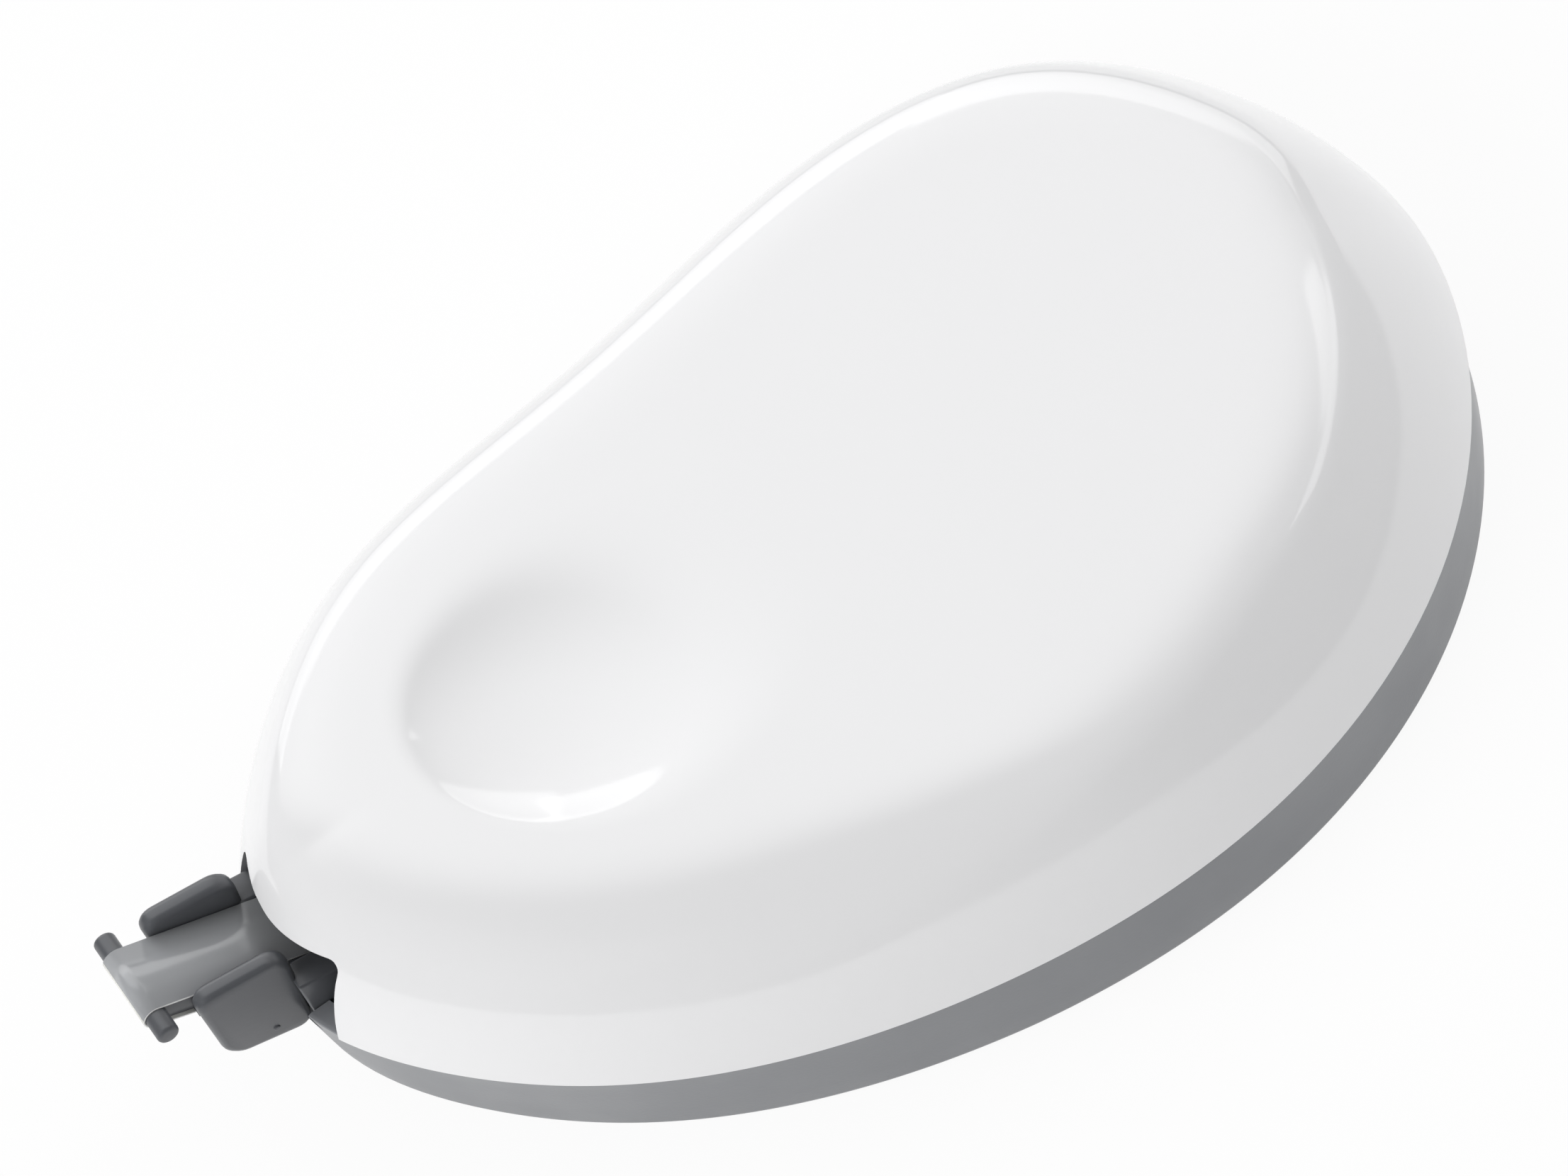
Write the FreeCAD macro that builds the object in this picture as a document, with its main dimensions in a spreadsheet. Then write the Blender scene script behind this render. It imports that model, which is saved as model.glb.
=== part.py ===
import FreeCAD, Part
import math
import os

import Sketcher
from FreeCAD import Placement, Rotation, Vector

# Correction tape roller, side view as it lies on its flat face: +Z up through the
# thickness, the tape head points along -X, Y is across. The origin is on the flat face.

doc = FreeCAD.newDocument("correction_tape_roller")
sheet = doc.addObject("Spreadsheet::Sheet", "sizes")

SIZES = {
    # Plan outline of the housing at the parting line: where each station is along X,
    # and how far the housing reaches to its left (+Y) and right (-Y) there.
    "nose_x": -35.5, "nose_y": -0.4,
    "shoulder_x": -30.3, "shoulder_left": 10.1, "shoulder_right": 11.15,
    "flank_x": -22.0, "flank_left": 15.9, "flank_right": 18.2,
    "waist_x": -5.0, "waist_left": 18.7, "waist_right": 24.7,
    "belly_x": 11.0, "belly_left": 20.9, "belly_right": 25.3,
    "hip_x": 25.0, "hip_left": 17.9, "hip_right": 19.7,
    "rump_x": 32.3, "rump_left": 9.65, "rump_right": 11.6,
    "tail_x": 35.2, "tail_y": -2.45,
    # Housing heights and walls.
    "parting_height": 7.0,
    "parting_gap": 0.12,
    "shoulder_height": 11.5,
    "shoulder_share": 0.31,
    "loft_height": 17.5,
    "loft_share": 1.13,
    "ceiling_share": 0.8,
    "crown_height": 16.2,
    "crown_radius": 420.0,
    "rim_inset": 5.6,
    "rim_radius": 3.4,
    "wall": 1.3,
    "floor_height": 1.4,
    "ceiling_height": 14.5,
    "base_inset": 0.5,
    "base_nose": 0.5,
    "base_chamfer": 0.5,
    "ledge": 0.25,
    # Thumb dish in the top face.
    "dish_x": -15.0, "dish_y": -0.7, "dish_turn": -8.5,
    "dish_half_length": 10.6, "dish_half_width": 7.5, "dish_depth": 2.2,
    "dish_edge": 1.2, "pan_height": 12.6,
    # Opening in the nose for the head.
    "opening_y": 0.35, "opening_top": 12.45, "opening_half": 5.7, "opening_corner": 0.7,
    "opening_depth_x": -27.5,
    # Pins that hold the shells together.
    "pin_radius": 1.2, "pin_socket": 2.0, "pin_top": 9.4, "socket_low": 8.2, "socket_top": 10.6,
    # Tape and head.
    "tape_width": 4.2, "tape_thick": 0.12, "tape_rest": 0.02, "head_y": 0.8,
    "bar_x": -41.15, "bar_z": 12.45, "bar_radius": 0.62, "bar_length": 6.9,
    "tongue_slope": 27.5, "tongue_taper": 2.3, "tongue_length": 11.6, "tongue_half": 1.95,
    "cheek_gap": 4.4, "cheek_thick": 1.13, "cheek_corner": 1.1,
    "cheek_front_x": -39.3, "cheek_back_x": -34.0, "cheek_low": 4.75,
    "leg_half": 3.9, "leg_rear_x": -30.4, "leg_front_x": -34.9, "foot_front_x": -31.3,
    # Spindles, in plan.
    "supply_x": 13.5, "supply_y": -1.5, "supply_post": 2.0, "supply_seat": 3.4,
    "takeup_x": -7.756, "takeup_y": -3.5, "takeup_post": 1.75, "takeup_seat": 2.8,
    "supply_post_top": 13.3, "takeup_post_top": 12.0,
    "seat_height": 1.9, "running_gap": 0.08, "seat_gap": 0.03,
    # Gear train.
    "gear_module": 0.7, "gear_teeth": 44, "pinion_teeth": 17, "pressure_angle": 20.0,
    "backlash": 0.06, "gear_low": 1.95, "gear_thick": 2.0, "gear_web": 1.1,
    "sleeve_radius": 3.6, "sleeve_top": 11.0,
    # Slip clutch.
    "friction_low": 3.97, "friction_thick": 0.5, "friction_radius": 6.4,
    "washer_low": 6.65, "washer_thick": 0.3, "washer_radius": 5.3,
    "spring_radius": 4.6, "spring_wire": 0.3, "spring_turns": 3, "spring_top": 10.46,
    "retainer_low": 10.5, "retainer_thick": 0.6, "retainer_radius": 5.4,
    # Reels.
    "flange_low": 4.52, "flange_thick": 0.7, "supply_flange": 14.2, "supply_hub": 6.5,
    "hub_top": 10.0, "hub_recess": 5.6, "hub_ledge": 6.6,
    "supply_coil": 13.2, "coil_low": 5.4,
    "takeup_hub": 5.0, "takeup_coil": 5.9, "takeup_flange": 10.0, "takeup_flange_low": 9.9,
    "key_size": 4.6, "key_depth": 1.2,
    # Guide posts for the tape.
    "feed_post_x": -14.5, "feed_post_y": 7.2, "feed_post_radius": 1.4,
    "return_post_x": -18.3, "return_post_y": 1.0, "return_post_radius": 1.2,
    "guide_top": 10.3, "collar": 0.6, "collar_gap": 0.3,
}

for row, (name, number) in enumerate(SIZES.items(), start=1):
    sheet.set("A%d" % row, name)
    sheet.set("B%d" % row, repr(number))
    sheet.setAlias("B%d" % row, name)
doc.recompute()


def size(name):
    """A driving dimension, read back from the sheet."""
    return float(sheet.get(name))


def value(expression):
    """The number that an expression on the sheet comes to."""
    return float(sheet.evalExpression(expression))


# ---- Sketch and feature helpers ----

def new_body(name):
    body = doc.addObject("PartDesign::Body", name)
    body.Label = name
    return body


def new_sketch(body, name, role, offset=("0", "0", "0")):
    """A sketch on one of the body's own origin planes, moved by three expressions."""
    plane = next(item for item in body.Origin.OriginFeatures if item.Role == role)
    sketch = body.newObject("Sketcher::SketchObject", name)
    sketch.AttachmentSupport = (plane, [""])
    sketch.MapMode = "FlatFace"
    for letter, expression in zip("xyz", offset):
        sketch.setExpression("AttachmentOffset.Base." + letter, expression)
    return sketch


def add_circle(sketch, radius, centre=None):
    """A circle round the sketch's origin or another centre, its radius bound to an expression."""
    middle = Vector(*(value(place) for place in centre), 0) if centre else Vector()
    number = sketch.addGeometry(Part.Circle(middle, Vector(0, 0, 1), value(radius)))
    if centre:
        bind(sketch, ("DistanceX", -1, 1, number, 3), centre[0])
        bind(sketch, ("DistanceY", -1, 1, number, 3), centre[1])
    else:
        sketch.addConstraint(Sketcher.Constraint("Coincident", number, 3, -1, 1))
    bind(sketch, ("Radius", number), radius)


def bind(sketch, what, expression):
    """A driven dimension in a sketch."""
    driven = sketch.addConstraint(Sketcher.Constraint(*what, value(expression)))
    sketch.setExpression("Constraints[%d]" % driven, expression)


def add_loop(sketch, points):
    """A closed loop of straight lines through points worked out from the sheet."""
    for number, point in enumerate(points):
        sketch.addGeometry(Part.LineSegment(point, points[(number + 1) % len(points)]))


def add_profile(sketch, corners):
    """A closed outline of straight lines whose corners are bound to expressions."""
    count = len(corners)
    add_loop(sketch, [Vector(value(across), value(up), 0) for across, up in corners])
    for number in range(count):
        after = (number + 1) % count
        sketch.addConstraint(Sketcher.Constraint("Coincident", number, 2, after, 1))
    for number, corner in enumerate(corners):
        bind(sketch, ("DistanceX", -1, 1, number, 1), corner[0])
        bind(sketch, ("DistanceY", -1, 1, number, 1), corner[1])


def pad(body, sketch, name, length, symmetric=False):
    feature = body.newObject("PartDesign::Pad", name)
    feature.Profile = sketch
    feature.setExpression("Length", length)
    feature.SideType = "Symmetric" if symmetric else "One side"
    return feature


def pocket(body, sketch, name, length):
    feature = body.newObject("PartDesign::Pocket", name)
    feature.Profile = sketch
    feature.setExpression("Length", length)
    return feature


def loft(body, sections, name, cuts=False):
    kind = "PartDesign::SubtractiveLoft" if cuts else "PartDesign::AdditiveLoft"
    feature = body.newObject(kind, name)
    feature.Profile = sections[0]
    feature.Sections = sections[1:]
    return feature


def spin(body, name, spindle, corners, cuts=False):
    """A solid of revolution round a spindle, from a profile of (radius, height)."""
    offset = ("sizes.%s_x" % spindle, "0", "-sizes.%s_y" % spindle)
    sketch = new_sketch(body, name + "_profile", "XZ_Plane", offset)
    add_profile(sketch, corners)
    feature = body.newObject("PartDesign::Groove" if cuts else "PartDesign::Revolution", name)
    feature.Profile = sketch
    feature.ReferenceAxis = (sketch, ["V_Axis"])
    feature.Angle = 360
    return feature


def soften(body, feature, kind, name, dimension, amount, chosen):
    """A rounding or a chamfer on the edges of a feature for which the test holds."""
    doc.recompute()
    edges = feature.Shape.Edges
    names = ["Edge%d" % (number + 1) for number, edge in enumerate(edges) if chosen(edge)]
    softened = body.newObject("PartDesign::" + kind, name)
    softened.Base = (feature, names)
    softened.setExpression(dimension, amount)
    return softened


def fillet(body, feature, name, radius, chosen):
    return soften(body, feature, "Fillet", name, "Radius", radius, chosen)


def chamfer(body, feature, name, width, chosen):
    return soften(body, feature, "Chamfer", name, "Size", width, chosen)


def upright(body, name, plan, low, high, radius, bore=None):
    """A round post or sleeve between two heights, at a place in plan."""
    sketch = new_sketch(body, name + "_plan", "XY_Plane", (plan[0], plan[1], low))
    add_circle(sketch, radius)
    if bore:
        add_circle(sketch, bore)
    return pad(body, sketch, name, "(%s) - (%s)" % (high, low))


def plan_of(spindle):
    return "sizes.%s_x" % spindle, "sizes.%s_y" % spindle


# ---- Housing: one plan outline, drawn smaller at each height ----

STATIONS = ("shoulder", "flank", "waist", "belly", "hip", "rump")
PIN_PLACES = ((-6.0, 14.6), (-16.0, -17.2), (26.6, 11.0), (14.0, -20.6))


def outline_points():
    right = [Vector(size(s + "_x"), -size(s + "_right"), 0) for s in STATIONS]
    left = [Vector(size(s + "_x"), size(s + "_left"), 0) for s in reversed(STATIONS)]
    nose = Vector(size("nose_x"), size("nose_y"), 0)
    tail = Vector(size("tail_x"), size("tail_y"), 0)
    return [nose] + right + [tail] + left


def through(points):
    curve = Part.BSplineCurve()
    curve.interpolate(Points=points, PeriodicFlag=True)
    return curve


def outline(inset, nose_inset=0.0):
    """The plan outline moved inwards, and by a little more towards the nose."""
    points = outline_points()
    curve = through(points)
    reach = size("waist_x") - size("nose_x")
    moved = []
    for point in points:
        along = curve.tangent(curve.parameter(point))[0]
        outward = Vector(along.y, -along.x, 0).normalize()
        nearness = max(0.0, (size("waist_x") - point.x) / reach)
        moved.append(point - outward * (inset + nose_inset * nearness))
    return through(moved)


def outline_sketch(body, name, height, inset, nose_inset=0.0):
    sketch = new_sketch(body, name, "XY_Plane", ("0", "0", height))
    sketch.addGeometry(outline(inset, nose_inset))
    return sketch


def make_lower_shell():
    """Grey tray: flat base, drafted wall, spindles, tape posts and a notch for the head."""
    body = new_body("lower_shell")
    wall, ledge, foot, nose = size("wall"), size("ledge"), size("base_inset"), size("base_nose")
    # The wall is drawn from 1 mm below the flat face, so that the face can be cut square.
    further = 1 / size("parting_height")
    below = outline_sketch(body, "under_outline", "-1", foot + (foot - ledge) * further,
                           nose * (1 + further))
    top = outline_sketch(body, "ledge_outline", "sizes.parting_height", ledge)
    loft(body, [below, top], "tray")
    rest = new_sketch(body, "rest_plan", "XY_Plane")
    add_profile(rest, (("-60", "-60"), ("60", "-60"), ("60", "60"), ("-60", "60")))
    flat = pocket(body, rest, "rest_face", "5")
    chamfer(body, flat, "base_edge", "sizes.base_chamfer", lambda edge: edge.BoundBox.ZMax < 0.01)
    inner_base = outline_sketch(body, "floor_outline", "sizes.floor_height", foot + wall, nose)
    inner_top = outline_sketch(body, "wall_outline", "sizes.parting_height", ledge + wall)
    loft(body, [inner_base, inner_top], "tray_inside", cuts=True)

    notch = new_sketch(body, "notch_profile", "YZ_Plane", ("sizes.head_y", "0", "sizes.leg_rear_x"))
    half, low, high = "sizes.leg_half + 0.05", "sizes.cheek_low - 0.1", "sizes.loft_height"
    add_profile(notch, (("-(%s)" % half, low), (half, low), (half, high), ("-(%s)" % half, high)))
    pocket(body, notch, "head_notch", "10")

    root = "sizes.floor_height - 0.2"
    for spindle in ("supply", "takeup"):
        plan = plan_of(spindle)
        upright(body, spindle + "_rest", plan, root, "sizes.seat_height", "sizes.%s_seat" % spindle)
        upright(body, spindle + "_spindle", plan, root, "sizes.%s_post_top" % spindle,
                "sizes.%s_post" % spindle)
    for post in ("feed_post", "return_post"):
        plan, radius = plan_of(post), "sizes.%s_radius" % post
        upright(body, post + "_collar", plan, root, "sizes.coil_low - sizes.collar_gap",
                radius + " + sizes.collar")
        upright(body, post, plan, root, "sizes.guide_top", radius)
    for number, (x, y) in enumerate(PIN_PLACES, start=1):
        upright(body, "joining_pin_%d" % number, (str(x), str(y)), root, "sizes.pin_top",
                "sizes.pin_radius")
    return body


def cover_section(body, name, height, share, wall=0.0):
    return outline_sketch(body, name, height, share * size("rim_inset") + wall)


def make_upper_shell():
    """White cover: leaning wall, soft rim, crowned top with a thumb dish, opening at the nose."""
    body = new_body("upper_shell")
    wall, shoulder = size("wall"), size("shoulder_share")
    edge_height = "sizes.parting_height + sizes.parting_gap"
    outside = (
        cover_section(body, "edge_outline", edge_height, 0.0),
        cover_section(body, "shoulder_outline", "sizes.shoulder_height", shoulder),
        cover_section(body, "rim_outline", "sizes.loft_height", size("loft_share")))
    loft(body, outside, "outer_form")
    dome = cut_crown(body)
    fillet(body, dome, "rim", "sizes.rim_radius", lambda edge: edge.BoundBox.ZMin > 14)
    inside = (
        cover_section(body, "inner_edge_outline", edge_height, 0.0, wall),
        cover_section(body, "inner_shoulder_outline", "sizes.shoulder_height", shoulder, wall),
        cover_section(body, "ceiling_outline", "sizes.ceiling_height", size("ceiling_share"), wall + 0.5))
    loft(body, inside, "cover_inside", cuts=True)

    upright(body, "supply_socket", plan_of("supply"), "sizes.supply_post_top - 1.2",
            "sizes.ceiling_height + 0.3", "3.3", "sizes.supply_post + sizes.seat_gap")
    for number, (x, y) in enumerate(PIN_PLACES, start=1):
        upright(body, "joining_socket_%d" % number, (str(x), str(y)), "sizes.socket_low",
                "sizes.socket_top", "sizes.pin_socket", "sizes.pin_radius + sizes.seat_gap")
    pan_place = (*plan_of("dish"), "sizes.pan_height")
    pan = new_sketch(body, "dish_pan_plan", "XY_Plane", pan_place)
    ellipse = Part.Ellipse(Vector(), size("dish_half_length") + 0.4, size("dish_half_width") + 0.4)
    ellipse.rotate(Placement(Vector(), Rotation(Vector(0, 0, 1), size("dish_turn"))))
    pan.addGeometry(ellipse)
    pad(body, pan, "dish_pan", "sizes.ceiling_height - sizes.pan_height + 0.3")
    upright(body, "takeup_socket", plan_of("takeup"), "sizes.takeup_post_top - 0.8",
            "sizes.pan_height + 0.1", "3", "sizes.takeup_post + sizes.seat_gap")
    cut_nose_opening(body)
    cut_thumb_dish(body)
    return body


def cut_crown(body):
    """The top face: part of a very large ball, so that it is only slightly crowned."""
    sketch = new_sketch(body, "crown_profile", "XZ_Plane")
    top, radius, reach = size("crown_height"), size("crown_radius"), 60.0
    centre = top - radius

    def on_crown(x):
        return Vector(x, centre + math.sqrt(radius ** 2 - x ** 2), 0)

    sketch.addGeometry(Part.Arc(on_crown(0), on_crown(reach / 2), on_crown(reach)))
    above = [on_crown(reach), Vector(reach, top + 9, 0), Vector(0, top + 9, 0), on_crown(0)]
    for first, second in zip(above, above[1:]):
        sketch.addGeometry(Part.LineSegment(first, second))
    groove = body.newObject("PartDesign::Groove", "crown")
    groove.Profile = sketch
    groove.ReferenceAxis = (sketch, ["V_Axis"])
    groove.Angle = 360
    return groove


def cut_nose_opening(body):
    """An opening with upright sides and small top corners, cut forwards out of the nose."""
    place = ("sizes.opening_y", "0", "sizes.opening_depth_x")
    sketch = new_sketch(body, "opening_profile", "YZ_Plane", place)
    half, high, corner = size("opening_half"), size("opening_top"), size("opening_corner")
    turn = corner * (1 - math.sqrt(0.5))
    low = size("floor_height")
    for side in (1, -1):
        foot, cheek = Vector(side * half, low, 0), Vector(side * half, high - corner, 0)
        crest = Vector(side * (half - corner), high, 0)
        sketch.addGeometry(Part.LineSegment(foot, cheek))
        sketch.addGeometry(Part.Arc(cheek, Vector(side * (half - turn), high - turn, 0), crest))
    sketch.addGeometry(Part.LineSegment(Vector(corner - half, high, 0), Vector(half - corner, high, 0)))
    sketch.addGeometry(Part.LineSegment(Vector(-half, low, 0), Vector(half, low, 0)))
    pocket(body, sketch, "nose_opening", "12")


def cut_thumb_dish(body):
    """A shallow barrel-shaped hollow, long axis turned a little off the length."""
    top, depth = size("crown_height"), size("dish_depth")
    long_half, short_half = size("dish_half_length"), size("dish_half_width")
    sketch = new_sketch(body, "dish_profile", "XZ_Plane", ("sizes.dish_x", "0", "-sizes.dish_y"))
    sketch.AttachmentOffset = Placement(
        Vector(size("dish_x"), 0, -size("dish_y")), Rotation(Vector(0, 1, 0), size("dish_turn")))
    lengthwise = (long_half ** 2 + depth ** 2) / (2 * depth)
    crosswise = (short_half ** 2 + depth ** 2) / (2 * depth)
    bottom, over = top - depth, top + 0.6
    reach = math.sqrt(lengthwise ** 2 - (lengthwise - (over - bottom)) ** 2)
    left, right = Vector(-reach, over, 0), Vector(reach, over, 0)
    sketch.addGeometry(Part.Arc(left, Vector(0, bottom, 0), right))
    sketch.addGeometry(Part.LineSegment(right, left))
    level = bottom + crosswise
    sketch.addGeometry(Part.LineSegment(Vector(-reach, level, 0), Vector(reach, level, 0)), True)
    groove = body.newObject("PartDesign::Groove", "thumb_dish")
    groove.Profile = sketch
    groove.ReferenceAxis = (sketch, ["Axis0"])
    groove.Angle = 360
    fillet(body, groove, "dish_edge", "sizes.dish_edge", is_dish_rim)


def is_dish_rim(edge):
    box = edge.BoundBox
    near = abs(box.Center.x - size("dish_x")) < 3 and abs(box.Center.y - size("dish_y")) < 3
    return near and box.ZMin > 14.8 and box.XLength > 8


# ---- Tape head: one moulding of tongue, cross bar, two cheeks and a base ----

def along_tongue(distance, height):
    """A point in side view, measured back from the cross bar along the tongue and up from it."""
    slope = math.radians(size("tongue_slope"))
    x = size("bar_x") + distance * math.cos(slope) + height * math.sin(slope)
    z = size("bar_z") - distance * math.sin(slope) + height * math.cos(slope)
    return Vector(x, z, 0)


def side_sketch(body, name, sideways="0"):
    """A side-view sketch, moved sideways (+Y) from the middle of the head."""
    return new_sketch(body, name, "XZ_Plane", ("0", "0", "-sizes.head_y - (%s)" % sideways))


def make_tape_head():
    body = new_body("tape_head")
    radius, length = size("bar_radius"), size("tongue_length")
    taper = math.tan(math.radians(size("tongue_taper")))

    tongue = side_sketch(body, "tongue_profile")
    low = radius + length * taper
    add_loop(tongue, [along_tongue(0, radius), along_tongue(0, -radius), along_tongue(length, -low),
                      along_tongue(length, radius)])
    pad(body, tongue, "tongue", "2 * sizes.tongue_half", symmetric=True)

    bar = new_sketch(body, "bar_profile", "XZ_Plane", ("sizes.bar_x", "sizes.bar_z", "-sizes.head_y"))
    add_circle(bar, "sizes.bar_radius")
    pad(body, bar, "cross_bar", "sizes.bar_length", symmetric=True)

    web = side_sketch(body, "web_profile")
    add_loop(web, [along_tongue(2.4, radius), along_tongue(2.4, -radius - 2.4 * taper),
                   along_tongue(length, -low), along_tongue(length, radius)])
    pad(body, web, "tongue_web", "sizes.cheek_gap + 0.6", symmetric=True)

    bridge = side_sketch(body, "bridge_profile")
    over = radius + size("tape_rest") + size("tape_thick") + 0.25
    add_loop(bridge, [along_tongue(9.9, over), along_tongue(9.9, over + 0.8),
                      along_tongue(11.0, over + 0.8), along_tongue(11.0, over)])
    pad(body, bridge, "hold_down", "sizes.cheek_gap + 0.6", symmetric=True)

    half_gap = "sizes.cheek_gap / 2"
    for side, near in (("left", half_gap + " + sizes.cheek_thick"), ("right", "-" + half_gap)):
        cheek = side_sketch(body, side + "_cheek_profile", near)
        add_profile(cheek, (
            ("sizes.cheek_front_x", "13.1"), ("sizes.cheek_front_x", "6.65"),
            ("sizes.leg_front_x - 0.1", "sizes.cheek_low"), ("sizes.cheek_back_x", "sizes.cheek_low + 1.5"),
            ("sizes.cheek_back_x", "12.0")))
        pad(body, cheek, side + "_cheek", "sizes.cheek_thick")
    for side, near in (("left", "sizes.leg_half"), ("right", "-" + half_gap)):
        leg = side_sketch(body, side + "_leg_profile", near)
        add_profile(leg, (
            ("sizes.leg_front_x", "sizes.cheek_low"), ("sizes.foot_front_x", "sizes.cheek_low"),
            ("sizes.foot_front_x", "sizes.floor_height"), ("sizes.leg_rear_x", "sizes.floor_height"),
            ("sizes.leg_rear_x", "8.6"), ("sizes.leg_front_x", "9.7")))
        pad(body, leg, side + "_leg", "sizes.leg_half - " + half_gap)
    fillet(body, body.Tip, "cheek_corners", "sizes.cheek_corner", is_cheek_corner)
    return body


def is_cheek_corner(edge):
    box = edge.BoundBox
    across = box.YLength > size("cheek_thick") * 0.9 and box.XLength < 0.01 and box.ZLength < 0.01
    return across and box.YLength < 1.3 and (box.ZMin > 11 or box.XMin < size("cheek_front_x") + 0.1)


# ---- Gears: a disc with one tooth, repeated ----

def add_tooth(body, name, spindle, teeth, first_angle):
    """One involute tooth at an angle in plan, then the whole ring of teeth."""
    module, press = size("gear_module"), math.radians(size("pressure_angle"))
    pitch = module * teeth / 2
    base, outer, root = pitch * math.cos(press), pitch + module, pitch - 1.25 * module
    half_pitch = math.pi / (2 * teeth) - size("backlash") / (2 * pitch)
    involute = math.tan(press) - press

    def flank(radius, side):
        angle = math.acos(min(1.0, base / radius))
        half = half_pitch + involute - (math.tan(angle) - angle)
        return Vector(radius * math.cos(side * half), radius * math.sin(side * half), 0)

    start = max(base, root)
    place = (*plan_of(spindle), "sizes.gear_low")
    sketch = new_sketch(body, name + "_plan", "XY_Plane", place)
    sketch.AttachmentOffset = Placement(
        Vector(value(place[0]), value(place[1]), size("gear_low")),
        Rotation(Vector(0, 0, 1), first_angle))
    foot = {side: flank(start, side) * ((root - 0.25) / start) for side in (1, -1)}
    for side in (1, -1):
        sketch.addGeometry(Part.Arc(flank(start, side), flank((start + outer) / 2, side), flank(outer, side)))
        sketch.addGeometry(Part.LineSegment(foot[side], flank(start, side)))
    sketch.addGeometry(Part.Arc(flank(outer, 1), Vector(outer, 0, 0), flank(outer, -1)))
    sketch.addGeometry(Part.LineSegment(foot[-1], foot[1]))
    tooth = pad(body, sketch, name, "sizes.gear_thick")
    ring = body.newObject("PartDesign::PolarPattern", name + "_ring")
    ring.Originals = [tooth]
    ring.Axis = (sketch, ["N_Axis"])
    ring.Angle = 360
    ring.Occurrences = teeth
    body.Tip = ring
    return ring


def line_of_centres():
    return math.degrees(math.atan2(size("supply_y") - size("takeup_y"), size("supply_x") - size("takeup_x")))


def make_supply_gear():
    """Large gear on a long sleeve: the sleeve carries the reel and the whole slip clutch."""
    body = new_body("supply_gear")
    root = "sizes.gear_module * (sizes.gear_teeth - 2.5) / 2"
    bore, low = "sizes.supply_post + sizes.running_gap", "sizes.gear_low"
    high = "sizes.gear_low + sizes.gear_thick"
    under = high + " - sizes.gear_web"
    spin(body, "gear_blank", "supply", (
        (bore, low), ("5", low), ("5", under), (root + " - 1.6", under), (root + " - 1.6", low),
        (root, low), (root, high), ("sizes.sleeve_radius", high),
        ("sizes.sleeve_radius", "sizes.sleeve_top"), (bore, "sizes.sleeve_top")))
    add_tooth(body, "tooth", "supply", int(size("gear_teeth")), line_of_centres() + 180.0)
    return body


def make_takeup_pinion():
    """Small gear keyed to the take-up reel by a square pocket in its top."""
    body = new_body("takeup_pinion")
    root = "sizes.gear_module * (sizes.pinion_teeth - 2.5) / 2"
    bore, low = "sizes.takeup_post + sizes.running_gap", "sizes.gear_low"
    high = "sizes.gear_low + sizes.gear_thick"
    spin(body, "pinion_blank", "takeup", ((bore, low), (root, low), (root, high), (bore, high)))
    teeth = int(size("pinion_teeth"))
    add_tooth(body, "tooth", "takeup", teeth, line_of_centres() + 180.0 / teeth)
    key = new_sketch(body, "key_plan", "XY_Plane", (*plan_of("takeup"), high))
    add_square(key, "sizes.key_size / 2 + sizes.seat_gap")
    pocket(body, key, "key_pocket", "sizes.key_depth + 0.05")
    return body


def add_square(sketch, half):
    low = "-(%s)" % half
    add_profile(sketch, ((low, low), (half, low), (half, half), (low, half)))


# ---- Slip clutch and reels, stacked on the spindles ----

def make_ring(name, spindle, inner, outer, low, thick):
    body = new_body(name)
    high = "(%s) + (%s)" % (low, thick)
    spin(body, name + "_ring", spindle, ((inner, low), (outer, low), (outer, high), (inner, high)))
    return body


def make_supply_spool():
    """Reel for the fresh tape: wide lower flange, hub with a recess for the clutch spring."""
    body = new_body("supply_spool")
    bore, low = "sizes.sleeve_radius + sizes.running_gap", "sizes.flange_low"
    high = "sizes.flange_low + sizes.flange_thick"
    spin(body, "reel", "supply", (
        (bore, low), ("sizes.supply_flange", low), ("sizes.supply_flange", high),
        ("sizes.supply_hub", high), ("sizes.supply_hub", "sizes.hub_top"),
        ("sizes.hub_recess", "sizes.hub_top"), ("sizes.hub_recess", "sizes.hub_ledge"),
        (bore, "sizes.hub_ledge")))
    return body


def make_clutch_spring():
    """Compression spring wound round the sleeve, pressing the washer down on the reel."""
    body = new_body("clutch_spring")
    start = "sizes.washer_low + sizes.washer_thick + sizes.spring_wire + 0.02"
    sketch = new_sketch(body, "wire_section", "XZ_Plane", ("sizes.supply_x", "0", "-sizes.supply_y"))
    add_circle(sketch, "sizes.spring_wire", ("sizes.spring_radius", start))
    coil = body.newObject("PartDesign::AdditiveHelix", "spring_coil")
    coil.Profile = sketch
    coil.ReferenceAxis = (sketch, ["V_Axis"])
    coil.Mode = "height-turns-angle"
    coil.setExpression("Height", "sizes.spring_top - sizes.spring_wire - (%s)" % start)
    coil.setExpression("Turns", "sizes.spring_turns")
    return body


def make_takeup_spool():
    """Reel for the used tape: upper flange, hub and a square key down into the pinion."""
    body = new_body("takeup_spool")
    bore, low = "sizes.takeup_post + sizes.running_gap", "sizes.gear_low + sizes.gear_thick + 0.02"
    high = "sizes.takeup_flange_low + sizes.flange_thick"
    spin(body, "reel", "takeup", (
        (bore, low), ("sizes.takeup_hub", low), ("sizes.takeup_hub", "sizes.takeup_flange_low"),
        ("sizes.takeup_flange", "sizes.takeup_flange_low"), ("sizes.takeup_flange", high),
        ("4.1", high), ("4.1", "6"), ("3", "6"), ("3", high), (bore, high)))
    key = new_sketch(body, "key_plan", "XY_Plane", (*plan_of("takeup"), low + " - sizes.key_depth"))
    add_square(key, "sizes.key_size / 2")
    add_circle(key, bore)
    pad(body, key, "drive_key", "sizes.key_depth")
    return body


# ---- Tape: two ribbons, joined where the tape turns round the cross bar ----

RIGHT = -1


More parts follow.
